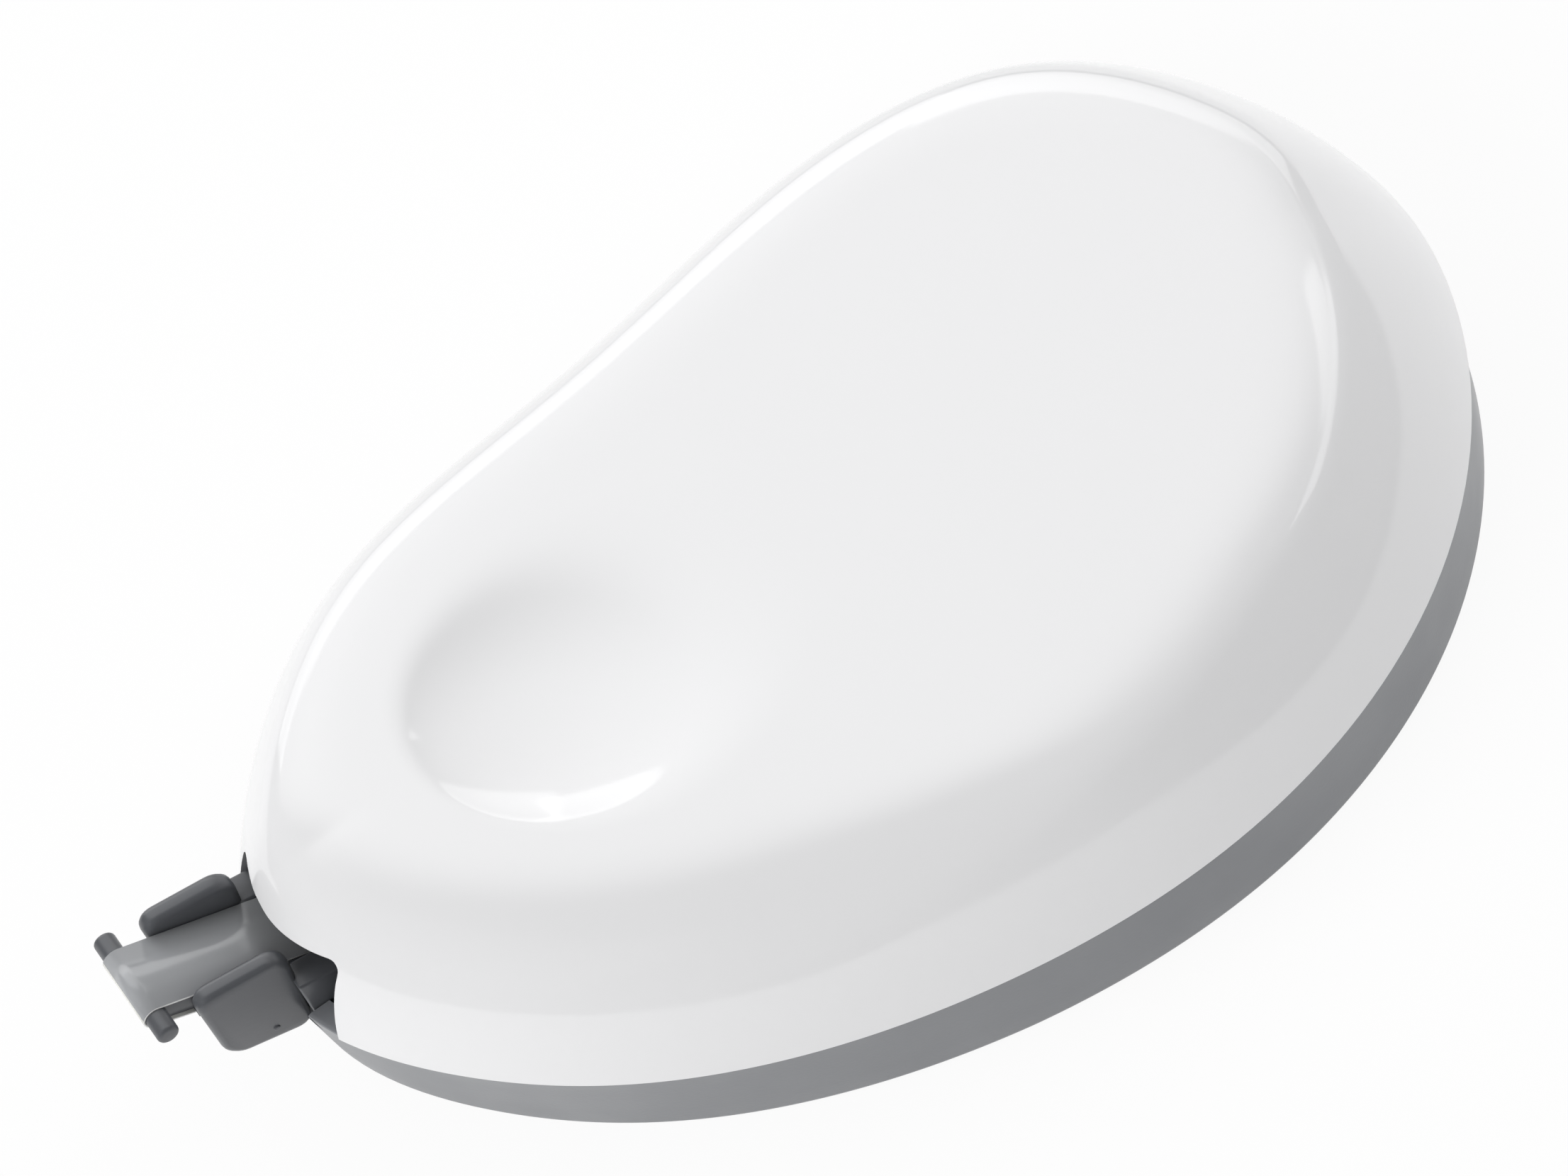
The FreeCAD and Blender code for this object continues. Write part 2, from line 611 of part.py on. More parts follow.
def straight_run(first, first_radius, second, second_radius, side):
    """The straight run of tape between two round guides that both lie on one side of it."""
    span = second - first
    bearing = math.atan2(span.y, span.x)
    open_angle = math.acos((second_radius - first_radius) / span.Length)
    normal = bearing + side * open_angle
    inward = Vector(math.cos(normal), math.sin(normal), 0)
    return first - inward * first_radius, second - inward * second_radius


def wrap(centre, radius, start, end, side, steps=5):
    """Points round a guide from one direction of the tape to the next."""
    first = math.atan2(start.y - centre.y, start.x - centre.x)
    last = math.atan2(end.y - centre.y, end.x - centre.x)
    turn = (last - first) * side % (2 * math.pi) * side
    angles = [first + turn * step / steps for step in range(steps + 1)]
    return [centre + Vector(math.cos(a), math.sin(a), 0) * radius for a in angles]


def ribbon(name, stations):
    """A thin ribbon as a loft through small upright rectangles: (point, across, through)."""
    half, thick = size("tape_width") / 2, size("tape_thick") / 2
    wires = []
    for point, across, through_way in stations:
        a, b = across * half, through_way * thick
        wires.append(Part.makePolygon([point - a - b, point + a - b, point + a + b, point - a + b,
                                       point - a - b]))
    feature = doc.addObject("Part::Feature", name)
    feature.Shape = Part.makeLoft(wires, True, True)
    feature.Placement = Placement()
    feature.Label = name
    return feature


def flat_stations(points, outward_side):
    """Stations of a run in which the tape stands on edge, at the height of the coils."""
    middle = size("coil_low") + size("tape_width") / 2
    stations = []
    for number, point in enumerate(points):
        before, after = points[max(0, number - 1)], points[min(len(points) - 1, number + 1)]
        along = (after - before).normalize()
        out = Vector(-along.y, along.x, 0) * outward_side
        stations.append((Vector(point.x, point.y, middle), Vector(0, 0, 1), out))
    return stations


def twist_stations(first, first_way, last, last_way, facing, steps=9):
    """Stations of the twisting run from the head (tape lying flat) to a guide post (on edge)."""
    reach = (last - first).Length * 0.4
    knots = [first, first + first_way * reach, last - last_way * reach, last]
    stations = []
    for step in range(1, steps):
        t = step / steps
        weights = ((1 - t) ** 3, 3 * t * (1 - t) ** 2, 3 * t ** 2 * (1 - t), t ** 3)
        slopes = (-3 * (1 - t) ** 2, 3 * (1 - t) * (1 - 3 * t), 3 * t * (2 - 3 * t), 3 * t ** 2)
        point, along = Vector(), Vector()
        for knot, weight, slope in zip(knots, weights, slopes):
            point += knot * weight
            along += knot * slope
        along.normalize()
        turn = math.pi / 2 * (3 * t ** 2 - 2 * t ** 3)
        across = Vector(0, math.cos(turn), math.sin(turn))
        across = (across - along * across.dot(along)).normalize()
        stations.append((point, across, along.cross(across) * facing))
    return stations


def head_stations(upper):
    """Stations from the tip of the cross bar, round it and back along one face of the tongue."""
    rest = size("bar_radius") + size("tape_rest") + size("tape_thick") / 2
    taper = 0.0 if upper else math.radians(size("tongue_taper"))
    side = 1 if upper else -1
    places = []
    for step in range(8):
        angle = (math.pi / 2 - taper) * step / 7
        places.append((-math.cos(angle) * rest, side * math.sin(angle) * rest, angle))
    end = math.pi / 2 - taper
    for distance in (3.0, size("tongue_length")):
        places.append((-math.cos(end) * rest + distance * math.cos(taper),
                       side * (math.sin(end) * rest + distance * math.sin(taper)), end))
    stations = []
    for distance, height, angle in places:
        flat = along_tongue(distance, height)
        ahead = along_tongue(distance - math.cos(angle), height + side * math.sin(angle))
        through_way = Vector(ahead.x - flat.x, 0, ahead.y - flat.y).normalize()
        point = Vector(flat.x, size("head_y"), flat.y)
        stations.append((point, Vector(0, 1, 0), through_way))
    return stations


def as_plan(spindle):
    return Vector(size(spindle + "_x"), size(spindle + "_y"), 0)


def make_ribbon(name, upper, post, reel):
    """The tape from the tip to one reel: along the tongue, twisting to a post, then to the coil."""
    thick = size("tape_thick") / 2
    post_radius = size(post + "_radius") + thick + 0.03
    coil_radius = size(reel + "_coil") + thick + 0.1
    head = head_stations(upper)
    rear = head[-1][0]
    way = (head[-1][0] - head[-2][0]).normalize()
    rear_plan = Vector(rear.x, rear.y, 0)
    arrive = straight_run(rear_plan, 0.0, as_plan(post), post_radius, RIGHT)[1]
    depart, coil = straight_run(as_plan(post), post_radius, as_plan(reel), coil_radius, RIGHT)
    facing = 1 if upper else -1
    flat = flat_stations(wrap(as_plan(post), post_radius, arrive, depart, RIGHT) + [coil], -facing)
    twist = twist_stations(rear, way, flat[0][0], (arrive - rear_plan).normalize(), facing)
    return ribbon(name, head + twist + flat)


# ---- The parts, checked and written ----

def make_all():
    gap = " + sizes.running_gap"
    coil = ("sizes.coil_low", "sizes.tape_width")
    make_lower_shell()
    make_upper_shell()
    make_tape_head()
    make_supply_gear()
    make_ring("friction_ring", "supply", "sizes.sleeve_radius" + gap, "sizes.friction_radius",
              "sizes.friction_low", "sizes.friction_thick")
    make_supply_spool()
    make_ring("clutch_washer", "supply", "sizes.sleeve_radius" + gap, "sizes.washer_radius",
              "sizes.washer_low", "sizes.washer_thick")
    make_clutch_spring()
    make_ring("clutch_retainer", "supply", "sizes.sleeve_radius + 0.02", "sizes.retainer_radius",
              "sizes.retainer_low", "sizes.retainer_thick")
    make_ring("supply_tape_coil", "supply", "sizes.supply_hub + 0.02", "sizes.supply_coil", *coil)
    make_takeup_spool()
    make_takeup_pinion()
    make_ring("takeup_tape_coil", "takeup", "sizes.takeup_hub + 0.02", "sizes.takeup_coil", *coil)
    make_ribbon("feed_tape", False, "feed_post", "supply")
    make_ribbon("return_tape", True, "return_post", "takeup")


NODES = (
    "upper_shell", "lower_shell", "tape_head", "supply_spool", "supply_tape_coil", "supply_gear",
    "friction_ring", "clutch_washer", "clutch_spring", "clutch_retainer", "takeup_spool",
    "takeup_pinion", "takeup_tape_coil", "feed_tape", "return_tape")

make_all()
doc.recompute()
for item in doc.Objects:
    if "Invalid" in item.State or "Error" in item.State:
        raise RuntimeError("%s is %s" % (item.Name, item.State))
os.makedirs("parts", exist_ok=True)
for node in NODES:
    part = doc.getObject(node)
    shape = part.Shape
    if shape.isNull() or not shape.isValid() or len(shape.Solids) != 1:
        raise RuntimeError("%s has no valid single solid" % node)
    shape.exportStep("parts/%s.step" % node)
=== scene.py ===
import math

import bmesh
import bpy
import numpy as np
from mathutils import Matrix, Vector


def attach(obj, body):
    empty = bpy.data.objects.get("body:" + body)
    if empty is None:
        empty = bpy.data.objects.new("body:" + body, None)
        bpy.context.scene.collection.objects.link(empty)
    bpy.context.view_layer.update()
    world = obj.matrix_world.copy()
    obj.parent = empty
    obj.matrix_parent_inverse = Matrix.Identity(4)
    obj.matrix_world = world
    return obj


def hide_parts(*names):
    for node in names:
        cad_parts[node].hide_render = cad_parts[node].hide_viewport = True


bl_info = {
    "name": "Correction tape roller",
    "version": (1, 0, 0),
    "blender": (4, 5, 0),
    "location": "View3D > Sidebar > Roller",
    "description": "Dresses the packed correction tape roller with its looks and a studio",
    "category": "Object",
}

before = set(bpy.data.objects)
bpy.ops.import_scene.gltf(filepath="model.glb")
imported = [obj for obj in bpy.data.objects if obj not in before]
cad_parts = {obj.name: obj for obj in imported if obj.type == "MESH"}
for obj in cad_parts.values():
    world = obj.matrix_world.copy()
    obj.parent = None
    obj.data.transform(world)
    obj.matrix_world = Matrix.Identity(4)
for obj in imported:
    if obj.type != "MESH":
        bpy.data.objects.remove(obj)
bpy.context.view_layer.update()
MM = 0.001

# Plain numbers in this file are millimetres, unless a comment or a name says otherwise.

# Plan outline of the case at the parting line: its two ends, and stations along X with how far
# the case reaches to the left (+Y) and to the right (-Y) there.
NOSE, TAIL = (-35.5, -0.4), (35.2, -2.45)
STATIONS = ((-30.3, 10.1, 11.15), (-22.0, 15.9, 18.2), (-5.0, 18.7, 24.7),
            (11.0, 20.9, 25.3), (25.0, 17.9, 19.7), (32.3, 9.65, 11.6))

# Places in plan that the shells, the reels and the tape share.
SUPPLY_SPINDLE, TAKEUP_SPINDLE = (13.5, -1.5), (-7.756, -3.5)
FEED_POST, RETURN_POST = (-14.5, 7.2), (-18.3, 1.0)

# The head: its middle across the case, the cross bar in side view, the tongue's slope, and how
# much more the tongue's underside slopes.
HEAD_Y = 0.8
BAR = Vector((-41.15, 12.45))
SLOPE = math.radians(27.5)
TAPER = math.radians(2.3)


def linear(code):
    """An sRGB hex colour as the linear RGBA that shaders take."""
    parts = [int(code[start:start + 2], 16) / 255 for start in (0, 2, 4)]
    parts = [p / 12.92 if p <= 0.04045 else ((p + 0.055) / 1.055) ** 2.4 for p in parts]
    return (*parts, 1.0)


def length(name, description, millimetres):
    """A length property, given in millimetres."""
    return bpy.props.FloatProperty(name=name, description=description, default=millimetres * MM,
                                   subtype="DISTANCE", unit="LENGTH", precision=5)


def colour(name, description, code):
    """A colour property, given as an sRGB hex colour."""
    return bpy.props.FloatVectorProperty(name=name, description=description, size=4,
                                         subtype="COLOR", default=linear(code), min=0, max=1)


# ---- Sizes and colours a user would change ----

class RollerCaseSizes(bpy.types.PropertyGroup):
    parting_height: length("Parting height", "Height of the line between the two shells", 7.0)
    parting_gap: length("Parting gap", "Shadow gap between the two shells", 0.12)
    crown_height: length("Crown height", "Highest point of the white shell", 16.2)
    crown_radius: length("Crown radius", "Radius of the slightly crowned top face", 420.0)
    rim_inset: length("Rim inset", "How far the wall leans in by the time it meets the top", 5.6)
    rim_radius: length("Rim radius", "Bend at the top of the wall", 2.8)
    nose_radius: length("Nose radius", "Wide bend at the top of the wall round the nose", 8.0)
    shoulder_width: length("Shoulder width", "How far inside the rim the top starts to fall", 5.0)
    shoulder_drop: length("Shoulder drop", "How far the top has fallen when it meets the rim", 0.5)
    wall: length("Wall", "Wall thickness of the shells", 1.3)
    base_inset: length("Base inset", "How far the grey wall leans in at its foot", 0.5)
    base_nose: length("Base inset at the nose", "How much more it leans in at the nose", 0.5)
    base_radius: length("Base radius", "Rounding at the foot of the grey shell", 0.8)
    dish_half_length: length("Dish half length", "Half the length of the thumb dish", 10.3)
    dish_half_width: length("Dish half width", "Half the width of the thumb dish", 8.5)
    dish_depth: length("Dish depth", "Depth of the thumb dish", 1.9)
    opening_half: length("Opening half width", "Half the width of the opening in the nose", 5.7)
    opening_top: length("Opening top", "Height of the opening in the nose", 12.45)


class RollerHeadSizes(bpy.types.PropertyGroup):
    bar_radius: length("Bar radius", "Radius of the cross bar at the tip", 0.62)
    bar_length: length("Bar length", "Length of the cross bar", 6.9)
    tape_width: length("Tape width", "Width of the correction tape", 4.2)
    tape_thick: length("Tape thickness", "Thickness of the tape as drawn", 0.12)
    tongue_length: length("Tongue length", "From the cross bar to the tongue's rear end", 11.6)
    cheek_thick: length("Cheek thickness", "Thickness of each cheek beside the tape", 1.13)
    edge_round: length("Edge rounding", "Small rounding on the head's moulded edges", 0.38)


class RollerColours(bpy.types.PropertyGroup):
    white_shell: colour("White shell", "Glossy polystyrene cover", "EDEDEE")
    grey_shell: colour("Grey shell", "Satin polystyrene tray", "7A7C80")
    head: colour("Head", "Dark grey acetal head", "56585C")
    carrier: colour("Carrier tape", "Bare release film of the used tape", "B2B4B7")
    coating: colour("Coated tape", "Fresh tape with its white coating", "E9E9E4")
    painted_glint_edge: colour("Cut edge", "Bright slit edge of the tape", "F4F4F2")
    # Painted highlight: the tape's cut edge is coloured near white for the glint of light along it.
    reel: colour("Reels", "Natural polypropylene reels", "D6D8D5")
    gear: colour("Gears", "Natural acetal gears", "E6E5DC")
    rubber: colour("Clutch ring", "Nitrile rubber friction ring", "2A2A2C")
    steel: colour("Steel", "Spring wire and washer", "B4B6B9")


# ---- Outline of the case ----

def closed_spline(points, per_span=48):
    """Positions and outward normals along a smooth closed curve through points in plan."""
    points = np.array(points, float)
    after = np.roll(points, -1, 0)
    chord = np.linalg.norm(after - points, axis=1)
    before = np.roll(chord, 1)
    count = len(points)
    system = np.zeros((count, count))
    right = np.zeros((count, 2))
    for i in range(count):
        system[i, i - 1] += 1 / before[i]
        system[i, i] += 2 / before[i] + 2 / chord[i]
        system[i, (i + 1) % count] += 1 / chord[i]
        right[i] = 3 * ((points[i] - points[i - 1]) / before[i] ** 2
                        + (after[i] - points[i]) / chord[i] ** 2)
    slopes = np.linalg.solve(system, right)
    places, ways = [], []
    for i in range(count):
        t = np.linspace(0, 1, per_span, endpoint=False)[:, None]
        start, end = slopes[i] * chord[i], slopes[(i + 1) % count] * chord[i]
        places.append((2 * t ** 3 - 3 * t ** 2 + 1) * points[i] + (t ** 3 - 2 * t ** 2 + t) * start
                      + (3 * t ** 2 - 2 * t ** 3) * after[i] + (t ** 3 - t ** 2) * end)
        ways.append((6 * t ** 2 - 6 * t) * (points[i] - after[i])
                    + (3 * t ** 2 - 4 * t + 1) * start + (3 * t ** 2 - 2 * t) * end)
    places, ways = np.vstack(places), np.vstack(ways)
    ways /= np.linalg.norm(ways, axis=1)[:, None]
    return places, np.stack([ways[:, 1], -ways[:, 0]], 1)


class CaseOutline:
    """The case's plan outline, read at evenly turned rays from a centre, in millimetres."""

    def __init__(self, centre, count):
        right = [(x, -reach) for x, _, reach in STATIONS]
        left = [(x, reach) for x, reach, _ in reversed(STATIONS)]
        places, outward = closed_spline([NOSE, *right, TAIL, *left])
        turn = np.unwrap(np.arctan2(places[:, 1] - centre[1], places[:, 0] - centre[0]))
        wanted = turn[0] + np.linspace(0, 2 * math.pi, count, endpoint=False)
        turn = np.append(turn, turn[0] + 2 * math.pi)
        self.places = self.read(wanted, turn, places)
        self.outward = self.read(wanted, turn, outward)
        self.outward /= np.linalg.norm(self.outward, axis=1)[:, None]
        # From 0 at the waist to 1 at the nose.
        waist, nose = -5.0, -35.5
        self.near_nose = np.clip((waist - self.places[:, 0]) / (waist - nose), 0, 1)

    @staticmethod
    def read(wanted, turn, values):
        """Values along the outline, read at the wanted turns."""
        closed = np.vstack([values, values[:1]])
        return np.stack([np.interp(wanted, turn, closed[:, axis]) for axis in (0, 1)], 1)

    def ring(self, inset, height):
        """One ring of the wall: inset from the outline by so much, at this height."""
        plan = self.places - self.outward * np.broadcast_to(inset, len(self.places))[:, None]
        return np.column_stack([plan, np.broadcast_to(height, len(plan))])


# ---- Mesh helpers ----

def loft_rings(bm, rings):
    """A closed form: a small capped circle, extruded from ring to ring and merged at the end."""
    start = bmesh.ops.create_circle(bm, cap_ends=True, cap_tris=True, segments=len(rings[0]),
                                    radius=MM)
    row = [vert for vert in start["verts"] if len(vert.link_edges) < 6]
    middle = [vert for vert in start["verts"] if len(vert.link_edges) >= 6]
    for vert, place in zip(row, rings[0]):
        vert.co = Vector(place) * MM
    for vert in middle:
        vert.co = Vector(np.mean(rings[0], 0)) * MM
    edges = [bm.edges.get((vert, row[index - 1])) for index, vert in enumerate(row)]
    for ring in rings[1:]:
        made = bmesh.ops.extrude_edge_only(bm, edges=edges)["geom"]
        fresh = {item for item in made if isinstance(item, bmesh.types.BMVert)}
        following = []
        for vert, place in zip(row, ring):
            twin = next(other for other in (edge.other_vert(vert) for edge in vert.link_edges)
                        if other in fresh)
            twin.co = Vector(place) * MM
            following.append(twin)
        row = following
        edges = [bm.edges.get((vert, row[index - 1])) for index, vert in enumerate(row)]
    bmesh.ops.pointmerge(bm, verts=row, merge_co=Vector(np.mean(rings[-1], 0)) * MM)


def add_post(bm, x, y, low, high, radius, edge=0.2):
    """An upright post with a small rounding round its top, in millimetres."""
    place = Matrix.Translation(Vector((x, y, (low + high) / 2)) * MM)
    made = bmesh.ops.create_cone(bm, cap_ends=True, segments=48, radius1=radius * MM,
                                 radius2=radius * MM, depth=(high - low) * MM, matrix=place)
    top = [e for e in {e for v in made["verts"] for e in v.link_edges}
           if all(v.co.z > (high - 0.001) * MM for v in e.verts)]
    bmesh.ops.bevel(bm, geom=top, offset=edge * MM, segments=3, profile=0.5, affect="EDGES",
                    material=-1)


def add_prism(bm, corners, low_y, high_y, rounding=0.0):
    """A side-view outline, extruded across, with its corners rounded; all in millimetres."""
    near = [bm.verts.new(Vector((x, low_y, z)) * MM) for x, z in corners]
    made = bmesh.ops.extrude_face_region(bm, geom=[bm.faces.new(near)])["geom"]
    far = {item for item in made if isinstance(item, bmesh.types.BMVert)}
    bmesh.ops.translate(bm, verts=list(far), vec=Vector((0, (high_y - low_y) * MM, 0)))
    body = set(near) | far
    if rounding:
        cross = [next(e for e in vert.link_edges if e.other_vert(vert) in far) for vert in near]
        made = bmesh.ops.bevel(bm, geom=cross, offset=rounding * MM, segments=7, profile=0.5,
                               affect="EDGES", material=-1)
        body = {v for v in body if v.is_valid} | set(made["verts"])
    return [v for v in body if v.is_valid]


def round_edges(bm, verts, offset, angle=40, segments=3):
    """A small moulded rounding on every edge of a form that turns by more than the angle."""
    edges = {edge for vert in verts for edge in vert.link_edges}
    sharp = [e for e in edges
             if len(e.link_faces) == 2 and e.calc_face_angle(0) > math.radians(angle)]
    bmesh.ops.bevel(bm, geom=sharp, offset=offset * MM, segments=segments, profile=0.5,
                    affect="EDGES", clamp_overlap=True, material=-1)


def mesh_from(bm, name):
    """The finished mesh of a bmesh, with its doubles merged and its faces outward."""
    bmesh.ops.remove_doubles(bm, verts=bm.verts, dist=1e-7)
    bmesh.ops.recalc_face_normals(bm, faces=bm.faces)
    mesh = bpy.data.meshes.new(name)
    bm.to_mesh(mesh)
    bm.free()
    return mesh


def put_in_scene(name, data):
    """A new object with its data, linked to the scene."""
    item = bpy.data.objects.new(name, data)
    bpy.context.scene.collection.objects.link(item)
    return item


def add_piece(mesh, name, material, node, sharp):
    """Puts a finished mesh in the scene as a piece of the housing that replaces a CAD node."""
    mesh.shade_smooth()
    mesh.set_sharp_from_angle(angle=math.radians(sharp))
    piece = put_in_scene(name, mesh)
    mesh.materials.append(material)
    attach(piece, "housing")
    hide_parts(node)
    return piece


def carved(mesh, cutter):
    """A mesh with a closed cutter taken out of it.

    A Boolean does it: no bmesh operator cuts an opening through a curved double wall cleanly.
    """
    whole, tool = put_in_scene("whole", mesh), put_in_scene("tool", cutter)
    modifier = whole.modifiers.new("cut", "BOOLEAN")
    modifier.operation = "DIFFERENCE"
    modifier.solver = "EXACT"
    modifier.object = tool
    bpy.context.view_layer.update()
    evaluated = whole.evaluated_get(bpy.context.evaluated_depsgraph_get())
    result = bpy.data.meshes.new_from_object(evaluated)
    for item in (whole, tool):
        bpy.data.objects.remove(item)
    return result


# ---- Materials ----

def feed(tree, node, **links):
    """Feeds a node's inputs with values or sockets.

    An input is given by its name, with _ for a space, or by its number, as i3.
    """
    for name, value in links.items():
        numbered = name[0] == "i" and name[1:].isdigit()
        socket = node.inputs[int(name[1:]) if numbered else name.replace("_", " ")]
        if isinstance(value, bpy.types.NodeSocket):
            tree.links.new(value, socket)
        else:
            socket.default_value = value


def add_node(tree, kind, settings=None, **links):
    """Adds a shader node with its properties, and feeds its inputs."""
    node = tree.nodes.new(kind)
    for name, value in (settings or {}).items():
        setattr(node, name, value)
    feed(tree, node, **links)
    return node


def new_material(name):
    """A node material with its principled shader, and the place that patterns read."""
    material = bpy.data.materials.new(name)
    material.use_nodes = True
    tree = material.node_tree
    tree.nodes.clear()
    shader = add_node(tree, "ShaderNodeBsdfPrincipled")
    add_node(tree, "ShaderNodeOutputMaterial", None, Surface=shader.outputs[0])
    return material, tree, shader, add_node(tree, "ShaderNodeTexCoord").outputs["Object"]


def vary(tree, shader, base, pattern, share, **roughness):
    """Where a pattern is low, a share of the base colour's light goes; the gloss follows it."""
    dark = [channel * (1 - share) for channel in base[:3]] + [1.0]
    tint = add_node(tree, "ShaderNodeMix", {"data_type": "RGBA"}, i0=pattern, i6=dark,
                    i7=list(base))
    rough = add_node(tree, "ShaderNodeMapRange", None, Value=pattern, **roughness)
    feed(tree, shader, Base_Color=tint.outputs[2], Roughness=rough.outputs[0])


def seen_by(tree, *rays):
    """1 on these kinds of ray, and 0 on all others."""
    path = add_node(tree, "ShaderNodeLightPath").outputs
    seen = path[rays[0]]
    for ray in rays[1:]:
        seen = add_node(tree, "ShaderNodeMath", {"operation": "MAXIMUM"}, i0=seen,
                        i1=path[ray]).outputs[0]
    return seen


def moulded(name, base, roughness, ior, grain, grain_depth, sway=0.05, wave_depth=0.0):
    """Injection-moulded plastic: a fine mould texture, slow waves of shrinkage, uneven gloss.

    A real mould's grain is finer than 0.1 mm; the grain given is as coarse as it has to be to
    show. The clouds of 9 mm and the waves of 14 mm follow the flow and the shrinkage.
    """
    material, tree, shader, place = new_material(name)
    shader.inputs["IOR"].default_value = ior
    cloud = add_node(tree, "ShaderNodeTexNoise", None, Vector=place, Scale=1 / (9 * MM), Detail=3.0)
    vary(tree, shader, base, cloud.outputs["Fac"], sway, From_Min=0.3, From_Max=0.7,
         To_Min=roughness * 0.85, To_Max=roughness * 1.2)
    fine = add_node(tree, "ShaderNodeTexNoise", None, Vector=place, Scale=1 / (grain * MM),
                    Detail=2.0)
    bump = add_node(tree, "ShaderNodeBump", None, Strength=1.0, Distance=grain_depth * MM,
                    Height=fine.outputs["Fac"])
    if wave_depth:
        wave = add_node(tree, "ShaderNodeTexNoise", None, Vector=place, Scale=1 / (14 * MM),
                        Detail=0.0)
        bump = add_node(tree, "ShaderNodeBump", None, Strength=1.0, Distance=wave_depth * MM,
                        Height=wave.outputs["Fac"], Normal=bump.outputs[0])
    feed(tree, shader, Normal=bump.outputs[0])
    return material


# ---- White shell ----

class ROLLER_OT_white_shell(bpy.types.Operator):
    """Makes the glossy white cover with its leaning wall, soft rim, thumb dish and nose opening"""
    bl_idname = "roller.white_shell"
    bl_label = "White Shell"

    RAYS = 320
    # How often a span is halved to find where two shapes meet.
    HALVINGS = 40
    # The wall's sections above the parting line: height, and share of the rim inset there.
    SECTIONS = ((11.5, 0.31), (17.5, 1.13))
    # Where the wall has its wide bend, round the nose, and where it leans in more, on the
    # right: a bearing and two turns away from it in degrees, up to which it is full and
    # beyond which there is none.
    NOSE_BEND = (-152, 40, 64)
    RIGHT_LEAN, RIGHT_MORE = (-36, 28, 58), 0.36
    # The thumb dish: its middle, and the turn of its long axis.
    DISH = Vector((-14.8, -1.0))
    DISH_TURN = math.radians(-32)
    # It is steep on the side of the nose, where the thumb pushes, and gentle towards the tail.
    THUMB_TURN, STEEPER = 0.26, 0.44
    # Its edge is clear towards the nose and soft towards the tail: depth of the blend, how much
    # that differs round the dish, and the bearing where it is softest.
    SOFT, SOFT_SWAY, SOFT_TURN = 0.5, 0.28, math.radians(10)
    # How far below the crown the dish's edge is taken, and the limits between which it is
    # looked for from the dish's middle, and the start of the wall's bend in height.
    EDGE_SUNK, EDGE_LIMITS, BEND_LIMITS = 0.12, (3.0, 14.0), (8.0, 16.0)
    # Inside: the level ceiling's depth below the crown, the heights of the inner wall's rings,
    # and the corner between wall and ceiling: its height and how far it is drawn in.
    CEILING_DEPTH, INNER_LEVELS = 1.9, (12.4, 11.0, 9.6, 8.4)
    CORNER_HEIGHT, CORNER_IN = 12.0, 1.4
    # The nose opening: how its near and far jambs stand off from half its width, how far the
    # near one slants out at its foot, how much lower the top is at each, the rounding of its
    # top corners, and where the cut starts and how long it is.
    NEAR_JAMB, FAR_JAMB, SLANT, NEAR_LOWER, FAR_LOWER = 0.95, -0.75, 1.6, 0.2, 1.6
    OPENING_ROUND, CUT_START, CUT_LONG = 0.7, -27.5, 14
    # Where the rings lie, as shares of the way across the shoulder, from there to the dish's
    # edge, and from the edge to the dish's middle.
    SHOULDER_STEPS = (0.02, 0.05, 0.1, 0.16, 0.23, 0.31, 0.4, 0.5, 0.61, 0.73, 0.86, 1.0)
    TOP_STEPS = (0.15, 0.3, 0.45, 0.6, 0.72, 0.8, 0.86, 0.9, 0.93, 0.955, 0.975, 0.99, 1.0)
    DISH_STEPS = (0.015, 0.03, 0.045, 0.06, 0.08, 0.1, *np.linspace(0.14, 0.94, 16), 0.99)

    def lean(self, sizes, height):
        """How far the wall has leaned in at a height: a smooth curve through its sections."""
        levels = (sizes.parting_height / MM + 0.12, *(level for level, _ in self.SECTIONS))
        marks = (0.0, *(share * sizes.rim_inset / MM for _, share in self.SECTIONS))
        total = 0
        for i, mark in enumerate(marks):
            share = 1.0
            for j, level in enumerate(levels):
                if i != j:
                    share = share * (height - level) / (levels[i] - level)
            total = total + mark * share
        return total

    @staticmethod
    def facing(line, bearing, full, none):
        """1 where the wall faces a bearing in degrees, easing to 0 between two turns from it."""
        turn = np.degrees(np.arctan2(line.outward[:, 1], line.outward[:, 0])) - bearing
        share = np.clip((none - np.abs((turn + 180) % 360 - 180)) / (none - full), 0, 1)
        return share ** 2 * (3 - 2 * share)

    def top(self, sizes, x, y, away):
        """Height of the top face with the dish sunk into it, and of the crown without it.

        The crown falls off in the shoulder, by how far away from the brow a place is.
        """
        crown_radius, high = sizes.crown_radius / MM, sizes.crown_height / MM
        crown = high - crown_radius + np.sqrt(crown_radius ** 2 - x ** 2 - y ** 2)
        near = np.clip(1 - away / (sizes.shoulder_width / MM), 0, 1)
        crown = crown - sizes.shoulder_drop / MM * near ** 3
        long_half, short_half = sizes.dish_half_length / MM, sizes.dish_half_width / MM
        dx, dy = x - self.DISH.x, y - self.DISH.y
        along = dx * math.cos(self.DISH_TURN) + dy * math.sin(self.DISH_TURN)
        across = dy * math.cos(self.DISH_TURN) - dx * math.sin(self.DISH_TURN)
        spread = np.minimum((along / long_half) ** 2 + (across / short_half) ** 2, 1.8)
        tailward = dx * math.cos(self.THUMB_TURN) + dy * math.sin(self.THUMB_TURN)
        steep = np.maximum(1 - self.STEEPER * tailward / short_half, 0.3)
        bowl = high - sizes.dish_depth / MM * (1 - spread) * steep
        soft = self.SOFT + self.SOFT_SWAY * np.cos(np.arctan2(dy, dx) - self.SOFT_TURN)
        overlap = np.maximum(soft - np.abs(crown - bowl), 0) / soft
        return np.minimum(crown, bowl) - overlap ** 2 * soft / 4, crown

